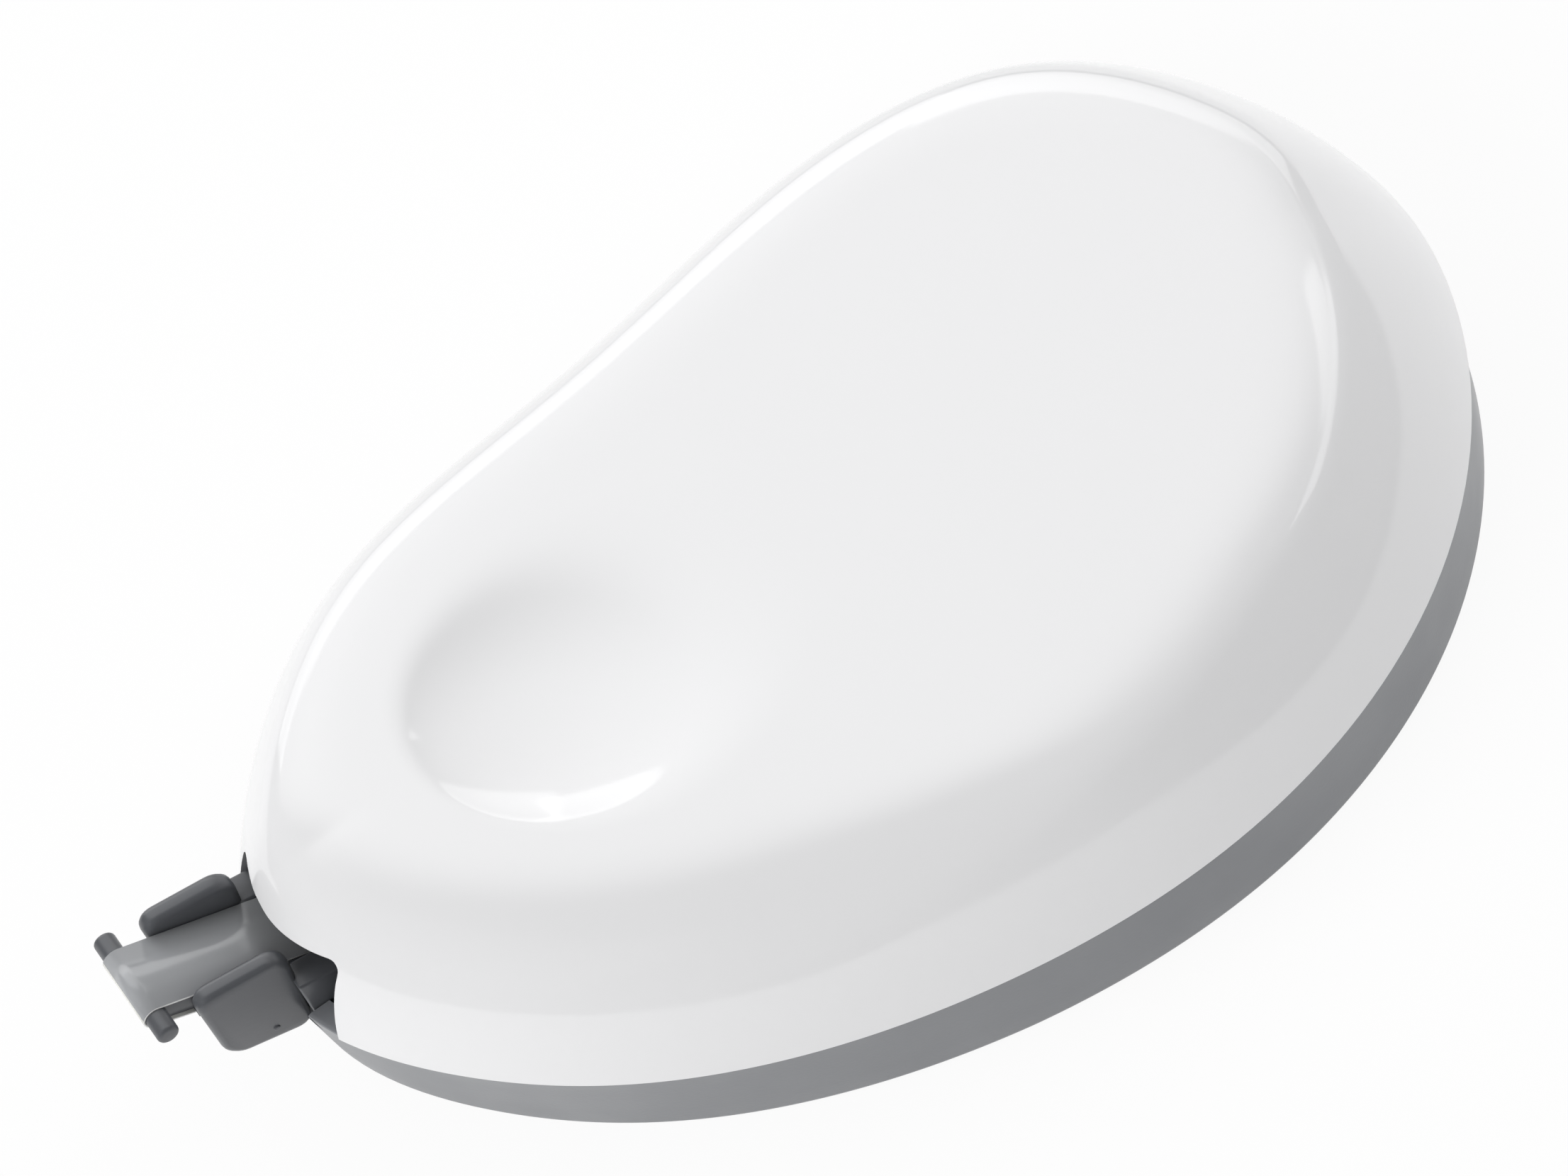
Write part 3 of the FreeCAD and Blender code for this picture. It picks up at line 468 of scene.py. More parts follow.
    def wall_rings(self, sizes, line, leaned, foot):
        """Rings up the outside of the wall and over its bend; the last of them is the brow."""
        drop, wide = sizes.shoulder_drop / MM, sizes.shoulder_width / MM
        round_nose = self.facing(line, *self.NOSE_BEND)
        bend = (sizes.rim_radius + (sizes.nose_radius - sizes.rim_radius) * round_nose) / MM
        # The wall bends over until it has the slope of the shoulder's lower end. Turns are
        # those of the outward direction: half a turn is level, a quarter turn is up.
        join = math.pi / 2 + math.atan(3 * drop / wide)
        low, high = (np.full(self.RAYS, limit) for limit in self.BEND_LIMITS)
        for _ in range(self.HALVINGS):
            touch = (low + high) / 2
            slope = (leaned(touch + 0.01) - leaned(touch - 0.01)) / 0.02
            start = math.pi - np.arctan(slope)
            centre_inset = leaned(touch) - bend * np.cos(start)
            centre_height = touch - bend * np.sin(start)
            brow = line.ring(centre_inset + bend * math.cos(join),
                             centre_height + bend * math.sin(join))
            above = brow[:, 2] > self.top(sizes, brow[:, 0], brow[:, 1], 0.0)[1]
            high, low = np.where(above, touch, high), np.where(above, low, touch)
        rings = [line.ring(0.0, foot)]
        for step in np.linspace(0.02, 1, 12):
            height = foot + (touch - foot) * step
            rings.append(line.ring(leaned(height), height))
        for step in np.linspace(0, 1, 12)[1:]:
            turn = start + (join - start) * step
            rings.append(line.ring(centre_inset + bend * np.cos(turn),
                                   centre_height + bend * np.sin(turn)))
        return rings

    def top_rings(self, sizes, line, brow, corner):
        """Rings over the top, from the brow to the dish's middle, and under it to the corner."""
        dish = np.array(self.DISH)
        whole = np.linalg.norm(brow[:, :2] - dish, axis=1)
        ways = (brow[:, :2] - dish) / whole[:, None]
        square = (ways * line.outward).sum(1)

        def across_top(reach):
            plan = dish + ways * reach[:, None]
            return plan, *self.top(sizes, plan[:, 0], plan[:, 1], (whole - reach) * square)

        # The dish's edge is where its surface leaves the crown.
        low, high = (np.minimum(whole - 0.5, limit) for limit in self.EDGE_LIMITS)
        for _ in range(self.HALVINGS):
            reach = (low + high) / 2
            _, height, crown = across_top(reach)
            sunk = height < crown - self.EDGE_SUNK
            low, high = np.where(sunk, reach, low), np.where(sunk, high, reach)
        gap = whole - reach
        shoulder = np.minimum(sizes.shoulder_width / MM / square, gap * 0.8)
        steps = [shoulder * part for part in self.SHOULDER_STEPS]
        steps += [shoulder + (gap - shoulder) * part for part in self.TOP_STEPS]
        steps += [gap + reach * part for part in self.DISH_STEPS]
        over = []
        for step in steps:
            plan, height, _ = across_top(whole - step)
            over.append(np.column_stack([plan, height]))

        # Inside, the wall's thickness lies below the top, and the ceiling is level round the dish.
        wall, ceiling = sizes.wall / MM, sizes.crown_height / MM - self.CEILING_DEPTH
        edge = dish + ways * reach[:, None]
        under = []
        for step in (0.02, 0.3, 0.6, 0.85, 1.0):
            plan, height, _ = across_top(reach * step)
            under.append(np.column_stack([plan, np.minimum(height - wall, ceiling)]))
        for step in (0.3, 0.7, 1.0):
            plan = edge + (corner - edge) * step
            _, height, _ = across_top(np.linalg.norm(plan - dish, axis=1))
            under.append(np.column_stack([plan, np.minimum(height - wall, ceiling)]))
        return over, under

    def execute(self, context):
        sizes = context.scene.roller_case
        line = CaseOutline(self.DISH, self.RAYS)
        wall = sizes.wall / MM
        foot = sizes.parting_height / MM + sizes.parting_gap / MM
        more = 1 + self.RIGHT_MORE * self.facing(line, *self.RIGHT_LEAN)

        def leaned(height):
            return self.lean(sizes, height) * more

        outside = self.wall_rings(sizes, line, leaned, foot)
        corner = line.ring(leaned(self.CORNER_HEIGHT) + wall + self.CORNER_IN, 0)[:, :2]
        over, under = self.top_rings(sizes, line, outside[-1], corner)
        inside = [line.ring(leaned(height) + wall, height)
                  for height in (*self.INNER_LEVELS, foot)]
        bm = bmesh.new()
        loft_rings(bm, under + inside + outside + over)
        shell = carved(mesh_from(bm, "cover"), self.nose_cutter(sizes))
        # Polished mould: a mirror-like skin that the slow shrinkage waves bend a little.
        paint = moulded("gloss white polystyrene, moulded",
                        context.scene.roller_colours.white_shell, 0.09, 1.59, 0.5, 0.0006,
                        sway=0.012, wave_depth=0.004)
        add_piece(shell, "upper_shell_cover", paint, "upper_shell", sharp=28)
        return {"FINISHED"}

    def nose_cutter(self, sizes):
        """The block that is cut forwards out of the nose, its two top corners rounded."""
        half, high = sizes.opening_half / MM, sizes.opening_top / MM
        near, far = self.NEAR_JAMB - half, half + self.FAR_JAMB
        bm = bmesh.new()
        corners = [Vector((self.CUT_START, y, z)) * MM for y, z in (
            (near - self.SLANT, 0), (far, 0), (far, high - self.FAR_LOWER),
            (near, high - self.NEAR_LOWER))]
        face = bm.faces.new([bm.verts.new(place) for place in corners])
        made = bmesh.ops.extrude_face_region(bm, geom=[face])["geom"]
        bmesh.ops.translate(bm, verts=[v for v in made if isinstance(v, bmesh.types.BMVert)],
                            vec=Vector((-self.CUT_LONG * MM, 0, 0)))
        ridge = [e for e in bm.edges if abs(e.verts[0].co.x - e.verts[1].co.x) > MM
                 and min(v.co.z for v in e.verts) > high / 2 * MM]
        bmesh.ops.bevel(bm, geom=ridge, offset=self.OPENING_ROUND * MM, segments=6, profile=0.5,
                        affect="EDGES", material=-1)
        return mesh_from(bm, "nose_block")


# ---- Grey shell ----

class ROLLER_OT_grey_shell(bpy.types.Operator):
    """Makes the satin grey tray with its spindles, tape posts and joining pins"""
    bl_idname = "roller.grey_shell"
    bl_label = "Grey Shell"

    RAYS = 288
    # How far the wall stands back below the white shell, and the height of the floor inside.
    LEDGE, FLOOR = 0.25, 1.4
    # Rounding of the wall's upper edge, inwards and downwards.
    LIP_IN, LIP_DOWN = 0.28, 0.22
    # Round posts that rise from inside the floor, at their foot: place in plan, top and radius.
    # Spindles and tape posts stand on a wider foot, and the last four are the joining pins.
    POST_FOOT = 1.2
    POSTS = ((SUPPLY_SPINDLE, 1.9, 3.4), (SUPPLY_SPINDLE, 13.3, 2.0),
             (TAKEUP_SPINDLE, 1.9, 2.8), (TAKEUP_SPINDLE, 12.0, 1.75),
             (FEED_POST, 5.1, 2.0), (FEED_POST, 10.3, 1.4),
             (RETURN_POST, 5.1, 1.8), (RETURN_POST, 10.3, 1.2),
             ((-6.0, 14.6), 9.4, 1.2), ((-16.0, -17.2), 9.4, 1.2),
             ((26.6, 11.0), 9.4, 1.2), ((14.0, -20.6), 9.4, 1.2))
    # The notch for the head's base: its back, its floor and half its width.
    NOTCH_BACK, NOTCH_FLOOR, NOTCH_HALF = -30.4, 4.65, 3.95

    def execute(self, context):
        sizes = context.scene.roller_case
        line = CaseOutline((0.0, 0.0), self.RAYS)
        high, wall, radius = sizes.parting_height / MM, sizes.wall / MM, sizes.base_radius / MM
        foot_inset = sizes.base_inset / MM + sizes.base_nose / MM * line.near_nose
        slope = (foot_inset - self.LEDGE) / high

        def lean(height):
            return self.LEDGE + (high - height) * slope

        # Inside: the floor from its middle outwards, the wall, and its rounded upper edge.
        middle = line.ring(0, 0).mean(0)[:2]
        rings = []
        deep = line.ring(foot_inset + wall + 0.4, self.FLOOR)
        for step in (0.02, 0.4, 0.8, 1.0):
            plan = middle + (deep[:, :2] - middle) * step
            rings.append(np.column_stack([plan, np.full(self.RAYS, self.FLOOR)]))
        rings.append(line.ring(foot_inset + wall - 0.1, self.FLOOR + 0.5))
        rings.append(line.ring(self.LEDGE + wall, high))
        rings.append(line.ring(self.LEDGE + self.LIP_IN, high))
        for step in (0.33, 0.66, 1.0):
            turn = step * math.pi / 2
            rings.append(line.ring(self.LEDGE + self.LIP_IN - self.LIP_IN * math.sin(turn),
                                   high - self.LIP_DOWN * (1 - math.cos(turn))))

        # Outside: down the wall, round its foot and over the underside to its middle.
        size = np.sqrt(1 + slope ** 2)
        touch = radius * (1 - slope / size)
        centre = lean(touch) + radius / size
        for height in np.linspace(high - 0.5, touch, 5):
            rings.append(line.ring(lean(height), height))
        start = math.pi + np.arctan(slope)
        for step in np.linspace(0, 1, 10)[1:]:
            turn = start + (1.5 * math.pi - start) * step
            rings.append(line.ring(centre + radius * np.cos(turn), radius + radius * np.sin(turn)))
        rest = rings[-1]
        for step in (0.02, 0.5, 0.98):
            plan = rest[:, :2] + (middle - rest[:, :2]) * step
            rings.append(np.column_stack([plan, np.zeros(self.RAYS)]))
        bm = bmesh.new()
        loft_rings(bm, rings)
        tray = carved(mesh_from(bm, "tray"), self.notch_cutter())
        bm = bmesh.new()
        bm.from_mesh(tray)
        for place, top, post in self.POSTS:
            add_post(bm, *place, self.POST_FOOT, top, post)
        # Spark-eroded mould: a fine grain that breaks the shine into satin.
        paint = moulded("satin grey polystyrene, spark-eroded mould",
                        context.scene.roller_colours.grey_shell, 0.36, 1.57, 0.22, 0.006, sway=0.03)
        add_piece(mesh_from(bm, "tray"), "lower_shell_tray", paint, "lower_shell",
                  sharp=28)
        return {"FINISHED"}

    def notch_cutter(self):
        """The block that leaves room in the nose for the head's base."""
        back, floor, past, above = self.NOTCH_BACK, self.NOTCH_FLOOR, -41, 9
        bm = bmesh.new()
        add_prism(bm, ((past, floor), (back, floor), (back, above), (past, above)),
                  HEAD_Y - self.NOTCH_HALF, HEAD_Y + self.NOTCH_HALF)
        return mesh_from(bm, "notch")


# ---- Head ----

def along_tongue(distance, height):
    """A point in side view: back from the cross bar along the tongue, and up from it."""
    return (BAR.x + distance * math.cos(SLOPE) + height * math.sin(SLOPE),
            BAR.y - distance * math.sin(SLOPE) + height * math.cos(SLOPE))


class ROLLER_OT_head(bpy.types.Operator):
    """Makes the dark grey head: tongue, cross bar, two cheeks and the base"""
    bl_idname = "roller.head"
    bl_label = "Tape Head"

    # How far each reaches to either side of the head's middle: the tongue, the web that joins
    # it to the cheeks, the cheeks' inner faces and the legs of the base.
    TONGUE_HALF, WEB_HALF, GAP_HALF, LEG_HALF = 1.95, 2.5, 2.2, 3.9
    # Distances back along the tongue: where the web starts, and the bridge over the tape.
    WEB_START, BRIDGE = 2.4, (9.9, 11.0)
    # The bridge's room for the tape above the tongue, and its height.
    BRIDGE_ROOM, BRIDGE_HIGH = 0.39, 0.8
    # Side views of a cheek, with the rounding of its corners, and of a leg.
    CHEEK, CHEEK_ROUND = ((-39.3, 13.1), (-39.3, 6.65), (-34.55, 4.75), (-34.0, 12.0)), 1.15
    LEG = ((-34.45, 4.75), (-31.3, 4.75), (-31.3, 1.4), (-30.4, 1.4), (-30.4, 8.6), (-34.45, 9.6))
    # The pip that the mould's gate leaves: its place in side view, its radius at the foot and
    # at the top, and its height, half of which is sunk in the cheek.
    PIP, PIP_FOOT, PIP_TOP, PIP_HIGH = (-36.45, 6.65), 0.24, 0.15, 0.16

    def execute(self, context):
        sizes = context.scene.roller_head
        radius, long = sizes.bar_radius / MM, sizes.tongue_length / MM
        thick, edge = sizes.cheek_thick / MM, sizes.edge_round / MM
        bm = bmesh.new()
        low = radius + long * math.tan(TAPER)
        tongue = [along_tongue(0, radius), along_tongue(0, -radius), along_tongue(long, -low),
                  along_tongue(long, radius)]
        verts = add_prism(bm, tongue, HEAD_Y - self.TONGUE_HALF, HEAD_Y + self.TONGUE_HALF)
        round_edges(bm, verts, 0.08)
        web_low = -radius - self.WEB_START * math.tan(TAPER)
        web = [along_tongue(self.WEB_START, radius), along_tongue(self.WEB_START, web_low),
               along_tongue(long, -low), along_tongue(long, radius)]
        add_prism(bm, web, HEAD_Y - self.WEB_HALF, HEAD_Y + self.WEB_HALF)
        (front, back), over = self.BRIDGE, radius + self.BRIDGE_ROOM
        bridge = [along_tongue(front, over), along_tongue(front, over + self.BRIDGE_HIGH),
                  along_tongue(back, over + self.BRIDGE_HIGH), along_tongue(back, over)]
        add_prism(bm, bridge, HEAD_Y - self.WEB_HALF, HEAD_Y + self.WEB_HALF)
        for side in (-1, 1):
            inner, outer = HEAD_Y + side * self.GAP_HALF, HEAD_Y + side * (self.GAP_HALF + thick)
            verts = add_prism(bm, self.CHEEK, *sorted((inner, outer)), self.CHEEK_ROUND)
            round_edges(bm, verts, edge)
            verts = add_prism(bm, self.LEG, *sorted((inner, HEAD_Y + side * self.LEG_HALF)))
            round_edges(bm, verts, 0.15)
        # The pip stands on the outside of the near cheek.
        sideways = Matrix.Rotation(math.pi / 2, 4, "X")
        place = Vector((self.PIP[0], HEAD_Y - self.GAP_HALF - thick, self.PIP[1])) * MM
        pip = bmesh.ops.create_cone(bm, cap_ends=True, segments=24, radius1=self.PIP_FOOT * MM,
                                    radius2=self.PIP_TOP * MM, depth=self.PIP_HIGH * MM,
                                    matrix=Matrix.Translation(place) @ sideways)
        round_edges(bm, pip["verts"], 0.03)
        place = Vector((BAR.x, HEAD_Y, BAR.y)) * MM
        bar = bmesh.ops.create_cone(bm, cap_ends=True, segments=40, radius1=radius * MM,
                                    radius2=radius * MM, depth=sizes.bar_length,
                                    matrix=Matrix.Translation(place) @ sideways)
        round_edges(bm, bar["verts"], 0.22, angle=60, segments=4)
        # Acetal from a smooth mould: dark, with a soft slippery sheen.
        paint = moulded("dark grey acetal, moulded", context.scene.roller_colours.head,
                        0.34, 1.48, 0.3, 0.004, sway=0.06)
        add_piece(mesh_from(bm, "head"), "tape_head_moulding", paint, "tape_head",
                  sharp=35)
        return {"FINISHED"}


# ---- Tape ----

class ROLLER_OT_tape(bpy.types.Operator):
    """Makes the two ribbons of tape, from the tip to the reels"""
    bl_idname = "roller.tape"
    bl_label = "Tape"

    # Height of the tape's middle where it runs on edge between the posts and the coils.
    MIDDLE = 7.5
    # Clearance of the tape from the bar, the posts and the coils.
    BAR_PLAY, POST_PLAY, COIL_PLAY = 0.02, 0.03, 0.1
    # Name, whether it runs over the tongue, post and its radius, reel and its coil's radius.
    ROUTES = (("feed", False, FEED_POST, 1.4, SUPPLY_SPINDLE, 13.2, "coated_tape"),
              ("return", True, RETURN_POST, 1.2, TAKEUP_SPINDLE, 5.9, "carrier_tape"))

    def head_run(self, upper, sizes):
        """Centre and width direction from the tip round the bar and back along the tongue."""
        rest = sizes.bar_radius / MM + self.BAR_PLAY + sizes.tape_thick / MM / 2
        taper, side = (0.0, 1) if upper else (TAPER, -1)
        end = math.pi / 2 - taper
        places = [(-math.cos(end * k / 15) * rest, side * math.sin(end * k / 15) * rest)
                  for k in range(16)]
        for far in np.linspace(0.5, sizes.tongue_length / MM, 14):
            places.append((-math.cos(end) * rest + far * math.cos(taper),
                           side * (math.sin(end) * rest + far * math.sin(taper))))
        run = []
        for place in places:
            x, z = along_tongue(*place)
            run.append((Vector((x, HEAD_Y, z)), Vector((0, 1, 0))))
        return run

    def twist(self, first, first_way, last, last_way, steps=28):
        """The stretch that turns the tape from lying flat to standing on edge."""
        reach = (last - first).length * 0.4
        knots = (first, first + first_way * reach, last - last_way * reach, last)
        run = []
        for k in range(1, steps):
            t = k / steps
            weights = ((1 - t) ** 3, 3 * t * (1 - t) ** 2, 3 * t ** 2 * (1 - t), t ** 3)
            slopes = (-3 * (1 - t) ** 2, 3 * (1 - t) * (1 - 3 * t), 3 * t * (2 - 3 * t), 3 * t ** 2)
            point = sum((knot * w for knot, w in zip(knots, weights)), Vector())
            along = sum((knot * s for knot, s in zip(knots, slopes)), Vector()).normalized()
            turn = math.pi / 2 * (3 * t ** 2 - 2 * t ** 3)
            across = Vector((0, math.cos(turn), math.sin(turn)))
            run.append((point, (across - along * across.dot(along)).normalized()))
        return run

    def tangent(self, first, first_radius, second, second_radius):
        """The straight run between two round guides that lie to its right."""
        span = second - first
        turn = (math.atan2(span.y, span.x)
                - math.acos((second_radius - first_radius) / span.length))
        inward = Vector((math.cos(turn), math.sin(turn)))
        return first - inward * first_radius, second - inward * second_radius

    def ribbon(self, name, run, sizes, slot, film, painted_glint_edge):
        """A strip extruded from one edge along the run, then given its thickness."""
        bm = bmesh.new()
        half = sizes.tape_width / 2
        point, across = run[0]
        pair = [bm.verts.new(point * MM + across * half * side) for side in (-1, 1)]
        edge = bm.edges.new(pair)
        for point, across in run[1:]:
            made = bmesh.ops.extrude_edge_only(bm, edges=[edge])["geom"]
            fresh = {item for item in made if isinstance(item, bmesh.types.BMVert)}
            pair = [next(other for other in (e.other_vert(v) for e in v.link_edges)
                         if other in fresh) for v in pair]
            for vert, side in zip(pair, (-1, 1)):
                vert.co = point * MM + across * half * side
            edge = bm.edges.get(pair)
        mesh = mesh_from(bm, name + "_tape_ribbon")
        piece = add_piece(mesh, name + "_tape_ribbon", film, name + "_tape", sharp=50)
        thick = piece.modifiers.new("thickness", "SOLIDIFY")
        thick.thickness = sizes.tape_thick
        thick.offset = 0.0
        # The rim faces take the second material, the cut edge's painted highlight.
        thick.material_offset_rim = 1
        mesh.materials.append(painted_glint_edge)

    def execute(self, context):
        sizes = context.scene.roller_head
        thick = sizes.tape_thick / MM / 2
        colours = context.scene.roller_colours
        # The film's cut edge is painted near white: a painted highlight that stands for the glint
        # of light along the cut.
        painted_glint_edge = moulded("slit edge of the film, painted glint", colours.painted_glint_edge, 0.5, 1.5, 0.2, 0.002,
                           sway=0.03)
        films = {"feed": self.coated_film(colours.coating),
                 "return": self.bare_film(colours.carrier)}
        for name, upper, post, post_radius, reel, coil, slot in self.ROUTES:
            head = self.head_run(upper, sizes)
            rear = head[-1][0]
            post, reel = Vector(post), Vector(reel)
            post_radius, coil = post_radius + thick + self.POST_PLAY, coil + thick + self.COIL_PLAY
            _, arrive = self.tangent(rear.xy, 0.0, post, post_radius)
            depart, last = self.tangent(post, post_radius, reel, coil)
            first_turn = math.atan2(arrive.y - post.y, arrive.x - post.x)
            last_turn = math.atan2(depart.y - post.y, depart.x - post.x)
            bend = []
            for k in range(7):
                turn = first_turn + (last_turn - first_turn) * k / 6
                place = post + Vector((math.cos(turn), math.sin(turn))) * post_radius
                bend.append((Vector((*place, self.MIDDLE)), Vector((0, 0, 1))))
            way = (rear - head[-2][0]).normalized()
            arrive_way = (arrive - rear.xy).normalized().to_3d()
            run = head + self.twist(rear, way, bend[0][0], arrive_way) + bend
            run.append((Vector((*last, self.MIDDLE)), Vector((0, 0, 1))))
            self.ribbon(name, run, sizes, slot, films[name], painted_glint_edge)
        return {"FINISHED"}

    def bare_film(self, base):
        """Used carrier: a smooth silicone-coated film that lets some light through."""
        material = moulded("bare release film, silicone-coated", base, 0.16, 1.5, 0.8, 0.002,
                           sway=0.08)
        shader = next(n for n in material.node_tree.nodes if n.type == "BSDF_PRINCIPLED")
        shader.inputs["Transmission Weight"].default_value = 0.12
        return material

    def coated_film(self, base):
        """Fresh tape: chalky white pigment on the film's outer face."""
        return moulded("release film with pigment coat", base, 0.6, 1.45, 0.15, 0.003, sway=0.04)


# ---- Reels, gears and clutch: the CAD nodes with real finishes ----

def dress(nodes, material):
    """Gives CAD nodes a material."""
    for name in nodes:
        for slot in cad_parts[name].material_slots:
            slot.material = material


class ROLLER_OT_mechanism(bpy.types.Operator):
    """Gives the reels, gears and clutch inside the case their finishes"""
    bl_idname = "roller.mechanism"
    bl_label = "Reels and Gears"

    def execute(self, context):
        colours = context.scene.roller_colours
        # Uncoloured polypropylene looks milky and slightly waxy.
        dress(("supply_spool", "takeup_spool", "clutch_retainer"),
              moulded("natural polypropylene, moulded", colours.reel, 0.35, 1.49, 0.3, 0.004))
        # Uncoloured acetal is a creamier white with a smoother sheen.
        dress(("supply_gear", "takeup_pinion"),
              moulded("natural acetal, moulded", colours.gear, 0.3, 1.48, 0.3, 0.003))
        # Nitrile rubber is dull and nearly black.
        dress(("friction_ring",),
              moulded("nitrile rubber, moulded", colours.rubber, 0.75, 1.52, 0.2, 0.01))
        dress(("clutch_spring", "clutch_washer"), self.steel(colours.steel))
        dress(("supply_tape_coil",),
              self.winding("wound fresh tape", colours.coating, SUPPLY_SPINDLE, 0.5))
        dress(("takeup_tape_coil",),
              self.winding("wound used tape", colours.carrier, TAKEUP_SPINDLE, 0.25))
        return {"FINISHED"}

    def steel(self, base):
        """Drawn spring steel: bright, with fine marks of the die that roughen the shine."""
        material, tree, shader, place = new_material("spring steel, drawn")
        shader.inputs["Metallic"].default_value = 1.0
        # Real die marks are about 0.01 mm wide; 0.3 mm is the finest that shows.
        marks = add_node(tree, "ShaderNodeTexNoise", None, Vector=place, Scale=1 / (0.3 * MM),
                         Detail=3.0).outputs["Fac"]
        vary(tree, shader, base, marks, 0.15, To_Min=0.2, To_Max=0.4)
        bump = add_node(tree, "ShaderNodeBump", None, Strength=1.0, Distance=0.002 * MM,
                        Height=marks)
        feed(tree, shader, Normal=bump.outputs[0])
        return material

    def winding(self, name, base, centre, roughness):
        """Wound tape: its end faces show fine rings, one for every few turns of film."""
        material, tree, shader, place = new_material(name)
        moved = add_node(tree, "ShaderNodeMapping", None, Vector=place,
                         Location=(-centre[0] * MM, -centre[1] * MM, 0))
        # Turns are 0.05 mm apart; rings 0.3 mm apart are the finest that still show.
        rings = add_node(tree, "ShaderNodeTexWave", {"wave_type": "RINGS", "rings_direction": "Z"},
                         Vector=moved.outputs[0], Scale=1 / (0.3 * MM) / 6.28,
                         Distortion=0.4).outputs["Fac"]
        vary(tree, shader, base, rings, 0.2, To_Min=roughness * 1.2, To_Max=roughness * 0.8)
        bump = add_node(tree, "ShaderNodeBump", None, Strength=1.0, Distance=0.01 * MM,
                        Height=rings)
        feed(tree, shader, Normal=bump.outputs[0])
        return material


# ---- Stage ----

class ROLLER_OT_stage(bpy.types.Operator):
    """Makes the pale floor, the soft studio lights and the camera of the photograph"""
    bl_idname = "roller.stage"
    bl_label = "Stage"

    # The point in the case that the lamps and the camera aim at.
    AIM = Vector((0, 0, 6.4)) * MM
    # Studio lamps: name, bearing from +X and height above the floor in degrees, distance, width
    # and height in metres, and how brightly each lights a surface that faces it. Softboxes only
    # light; strips are also mirrored in the gloss, as the bright lines on the rim.
    LAMPS = (("nose_softbox", -170, 35, 0.75, 0.70, 0.50, 0.67),
             ("tail_softbox", 22, 42, 0.40, 0.34, 0.34, 0.17),
             ("right_softbox", -20, 10, 0.80, 0.50, 0.20, 0.13),
             ("left_strip", 96, 16, 0.60, 0.50, 0.26, 0.20),
             ("back_strip", 50, 20, 0.60, 0.50, 0.26, 0.19),
             ("right_strip", 2, 50, 0.60, 0.40, 0.10, 0.07))
    # How brightly the world lights, and how much of what is seen of the floor is plain white.
    SKY, PLAIN_WHITE = 0.35, 0.92
    # The ceiling that only gloss mirrors: the way to its brightest part, the cosines away from
    # it where it has faded out and where it is full, and how bright it is at each.
    CEILING, CEILING_FADE, CEILING_LEVELS = (0.09, 0.63, 0.77), (0.68, 0.95), (0.15, 2.2)
    # Half the floor's size in metres, and how far below the part it lies in millimetres.
    FLOOR_HALF, FLOOR_BELOW = 3.0, 0.05
    # The photograph: height of the eye, turn from square on and roll, distance in millimetres,
    # pixels for a millimetre, and in pixels its size and where the aim lies in it.
    TILT, TURN, ROLL = math.radians(60), math.radians(-8.5), math.radians(27.5)
    DISTANCE, PIXELS = 500, 27.4
    PICTURE, AIM_PIXEL = (2212, 1659), (1180, 830)

    def execute(self, context):
        self.add_floor(context)
        self.add_world(context)
        for name, bearing, raised, distance, wide, tall, level in self.LAMPS:
            bearing, raised = math.radians(bearing), math.radians(raised)
            way = Vector((math.cos(raised) * math.cos(bearing),
                          math.cos(raised) * math.sin(bearing), math.sin(raised)))
            lamp = bpy.data.lights.new(name, "AREA")
            lamp.shape = "RECTANGLE"
            lamp.size = wide
            lamp.size_y = tall
            # A level of 1 lights a white surface that faces the lamp to full white.
            lamp.energy = level * math.pi ** 2 * distance ** 2
            item = put_in_scene(name, lamp)
            item.location = self.AIM + way * distance
            item.rotation_mode = "QUATERNION"
            item.rotation_quaternion = (-way).to_track_quat("-Z", "Y")
            item.visible_glossy = name.endswith("strip")
        self.add_camera(context)
        context.scene.view_settings.view_transform = "Standard"
        return {"FINISHED"}

    def add_floor(self, context):
        """A white board just below the part, with a trace of paper fibre."""
        bm = bmesh.new()
        bmesh.ops.create_grid(bm, x_segments=2, y_segments=2, size=self.FLOOR_HALF)
        bmesh.ops.translate(bm, verts=bm.verts, vec=(0, 0, -self.FLOOR_BELOW * MM))
        mesh = mesh_from(bm, "floor")
        # Matt board: no shine, and fibres of 2.5 mm that hardly show.
        material, tree, shader, place = new_material("white studio board")
        fibre = add_node(tree, "ShaderNodeTexNoise", None, Vector=place, Scale=1 / (2.5 * MM))
        tint = add_node(tree, "ShaderNodeMix", {"data_type": "RGBA"}, i0=fibre.outputs["Fac"],
                        i6=linear("FDFDFD"), i7=linear("FFFFFF"))
        feed(tree, shader, Base_Color=tint.outputs[2])
        shader.inputs["Roughness"].default_value = 0.9
        # Seen by the camera or in a reflection it is mostly plain white, so that it stays white
        # without more light and still keeps a soft shadow.
        seen = seen_by(tree, "Is Camera Ray", "Is Glossy Ray", "Is Transmission Ray")
        share = add_node(tree, "ShaderNodeMath", {"operation": "MULTIPLY"}, i0=seen,
                         i1=self.PLAIN_WHITE)
        plain = add_node(tree, "ShaderNodeEmission", None, Color=(1, 1, 1, 1), Strength=1.0)
        both = add_node(tree, "ShaderNodeMixShader", None, i0=share.outputs[0],
                        i1=shader.outputs[0], i2=plain.outputs[0])
        output = next(node for node in tree.nodes if node.type == "OUTPUT_MATERIAL")
        feed(tree, output, Surface=both.outputs[0])
        mesh.materials.append(material)
        floor = put_in_scene("floor", mesh)

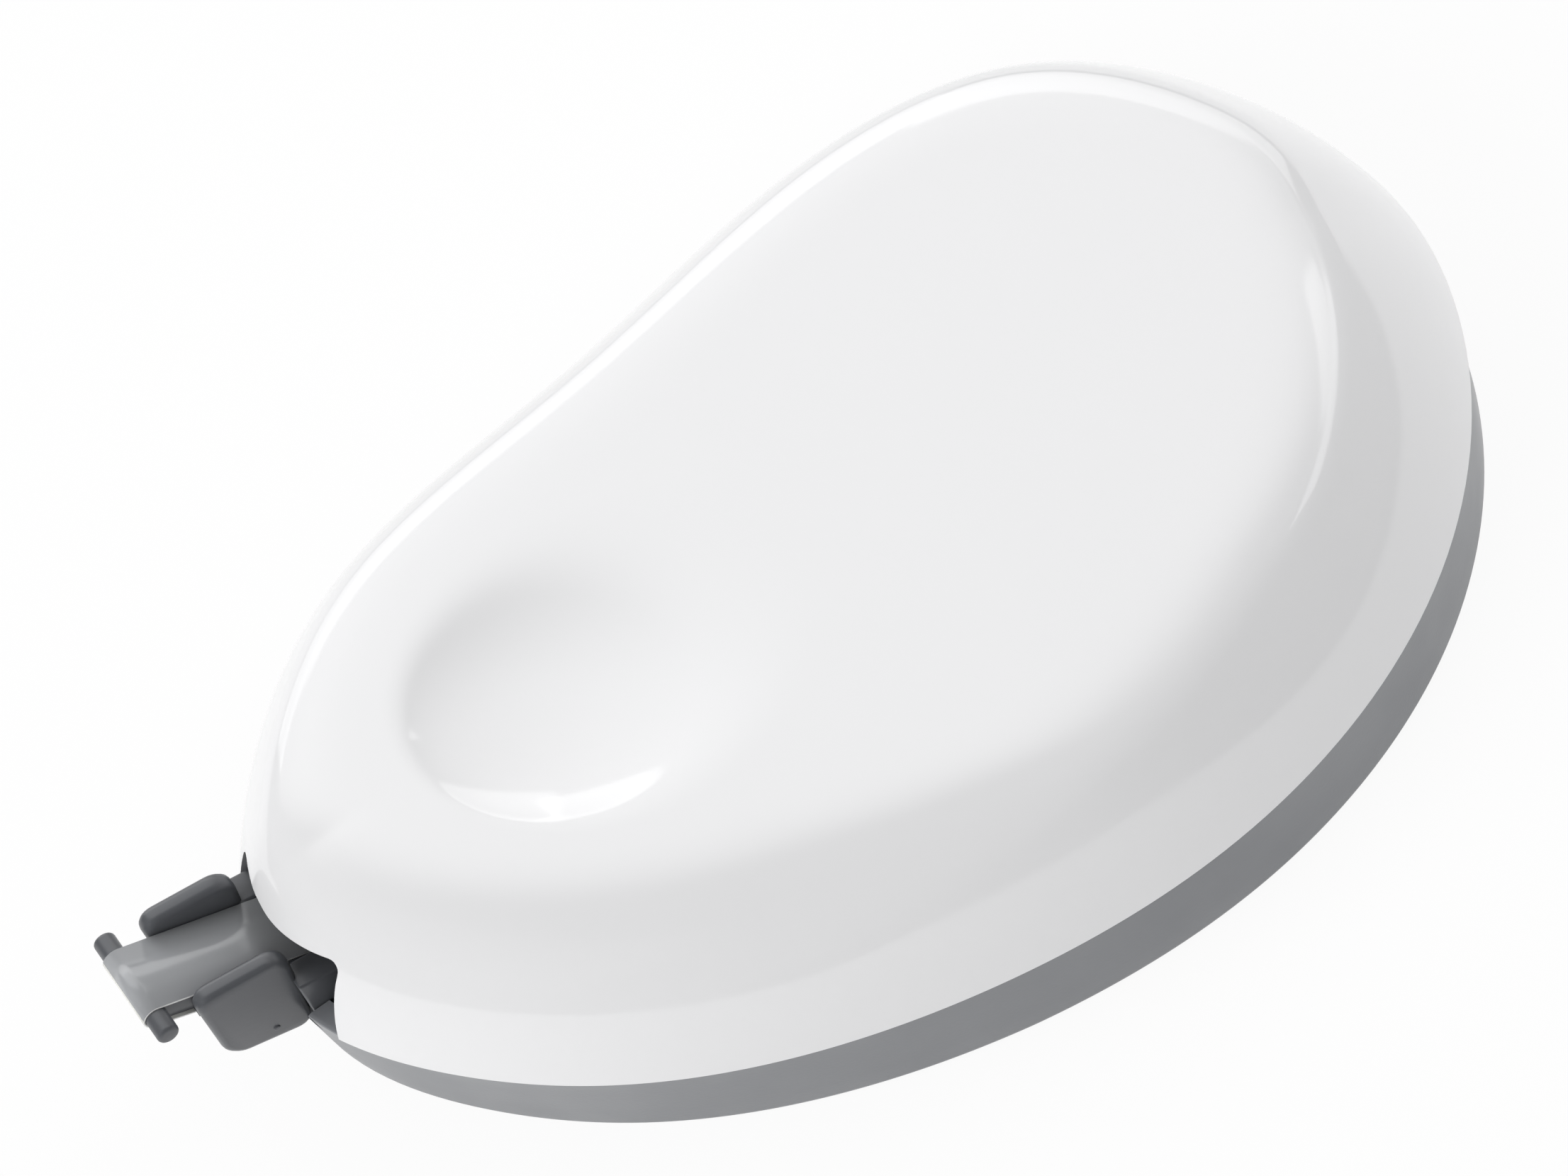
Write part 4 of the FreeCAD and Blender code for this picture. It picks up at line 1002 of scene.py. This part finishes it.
    def add_world(self, context):
        """White where it is seen, and in gloss a soft ceiling that fades out to the camera."""
        world = bpy.data.worlds.new("studio")
        context.scene.world = world
        world.use_nodes = True
        tree = world.node_tree
        tree.nodes.clear()
        way = add_node(tree, "ShaderNodeTexCoord").outputs["Generated"]
        near = add_node(tree, "ShaderNodeVectorMath", {"operation": "DOT_PRODUCT"}, i0=way,
                        i1=self.CEILING)
        mirrored = add_node(tree, "ShaderNodeMapRange", {"interpolation_type": "SMOOTHSTEP"},
                            Value=near.outputs["Value"],
                            From_Min=self.CEILING_FADE[0], From_Max=self.CEILING_FADE[1],
                            To_Min=self.CEILING_LEVELS[0], To_Max=self.CEILING_LEVELS[1])
        lit = add_node(tree, "ShaderNodeMix", {"data_type": "FLOAT"},
                       i0=seen_by(tree, "Is Glossy Ray"), i2=self.SKY, i3=mirrored.outputs[0])
        level = add_node(tree, "ShaderNodeMix", {"data_type": "FLOAT"},
                         i0=seen_by(tree, "Is Camera Ray", "Is Transmission Ray"),
                         i2=lit.outputs[0], i3=1.0)
        sky = add_node(tree, "ShaderNodeBackground", None, Color=(1, 1, 1, 1),
                       Strength=level.outputs[0])
        add_node(tree, "ShaderNodeOutputWorld", None, Surface=sky.outputs[0])

    def add_camera(self, context):
        """Seen from high above the floor, a little left of square on, and rolled."""
        turning = Matrix.Rotation(self.TURN, 3, "Z")
        back = turning @ Vector((0, -math.cos(self.TILT), math.sin(self.TILT)))
        level_right = turning @ Vector((1, 0, 0))
        level_up = turning @ Vector((0, math.sin(self.TILT), math.cos(self.TILT)))
        right = level_right * math.cos(self.ROLL) - level_up * math.sin(self.ROLL)
        up = level_right * math.sin(self.ROLL) + level_up * math.cos(self.ROLL)
        wide, tall = self.PICTURE
        data = bpy.data.cameras.new("camera")
        data.sensor_width = 36.0
        data.lens = self.PIXELS * self.DISTANCE * data.sensor_width / wide
        data.shift_x = -(self.AIM_PIXEL[0] - wide / 2) / wide
        data.shift_y = (self.AIM_PIXEL[1] - tall / 2) / wide
        data.clip_start, data.clip_end = 0.01, 20.0
        camera = put_in_scene("camera", data)
        facing = Matrix((right, up, back)).transposed().to_4x4()
        camera.matrix_world = Matrix.Translation(self.AIM + back * self.DISTANCE * MM) @ facing
        context.scene.camera = camera


class ROLLER_PT_panel(bpy.types.Panel):
    """Lists the roller's pieces and their settings"""
    bl_label = "Correction Tape Roller"
    bl_idname = "ROLLER_PT_panel"
    bl_space_type = "VIEW_3D"
    bl_region_type = "UI"
    bl_category = "Roller"

    def draw(self, context):
        for operator in OPERATORS:
            self.layout.operator(operator.bl_idname)
        for name, group in GROUPS.items():
            box = self.layout.box()
            for setting in group.__annotations__:
                box.prop(getattr(context.scene, name), setting)


OPERATORS = (ROLLER_OT_stage, ROLLER_OT_white_shell, ROLLER_OT_grey_shell, ROLLER_OT_head,
             ROLLER_OT_tape, ROLLER_OT_mechanism)
GROUPS = {"roller_case": RollerCaseSizes, "roller_head": RollerHeadSizes,
          "roller_colours": RollerColours}


def register():
    for item in (*GROUPS.values(), *OPERATORS, ROLLER_PT_panel):
        bpy.utils.register_class(item)
    for name, group in GROUPS.items():
        setattr(bpy.types.Scene, name, bpy.props.PointerProperty(type=group))


def unregister():
    for name in GROUPS:
        delattr(bpy.types.Scene, name)
    for item in reversed((*GROUPS.values(), *OPERATORS, ROLLER_PT_panel)):
        bpy.utils.unregister_class(item)


def main():
    register()
    bpy.ops.roller.stage()
    bpy.ops.roller.white_shell()
    bpy.ops.roller.grey_shell()
    bpy.ops.roller.head()
    bpy.ops.roller.tape()
    bpy.ops.roller.mechanism()


if __name__ == "__main__":
    main()
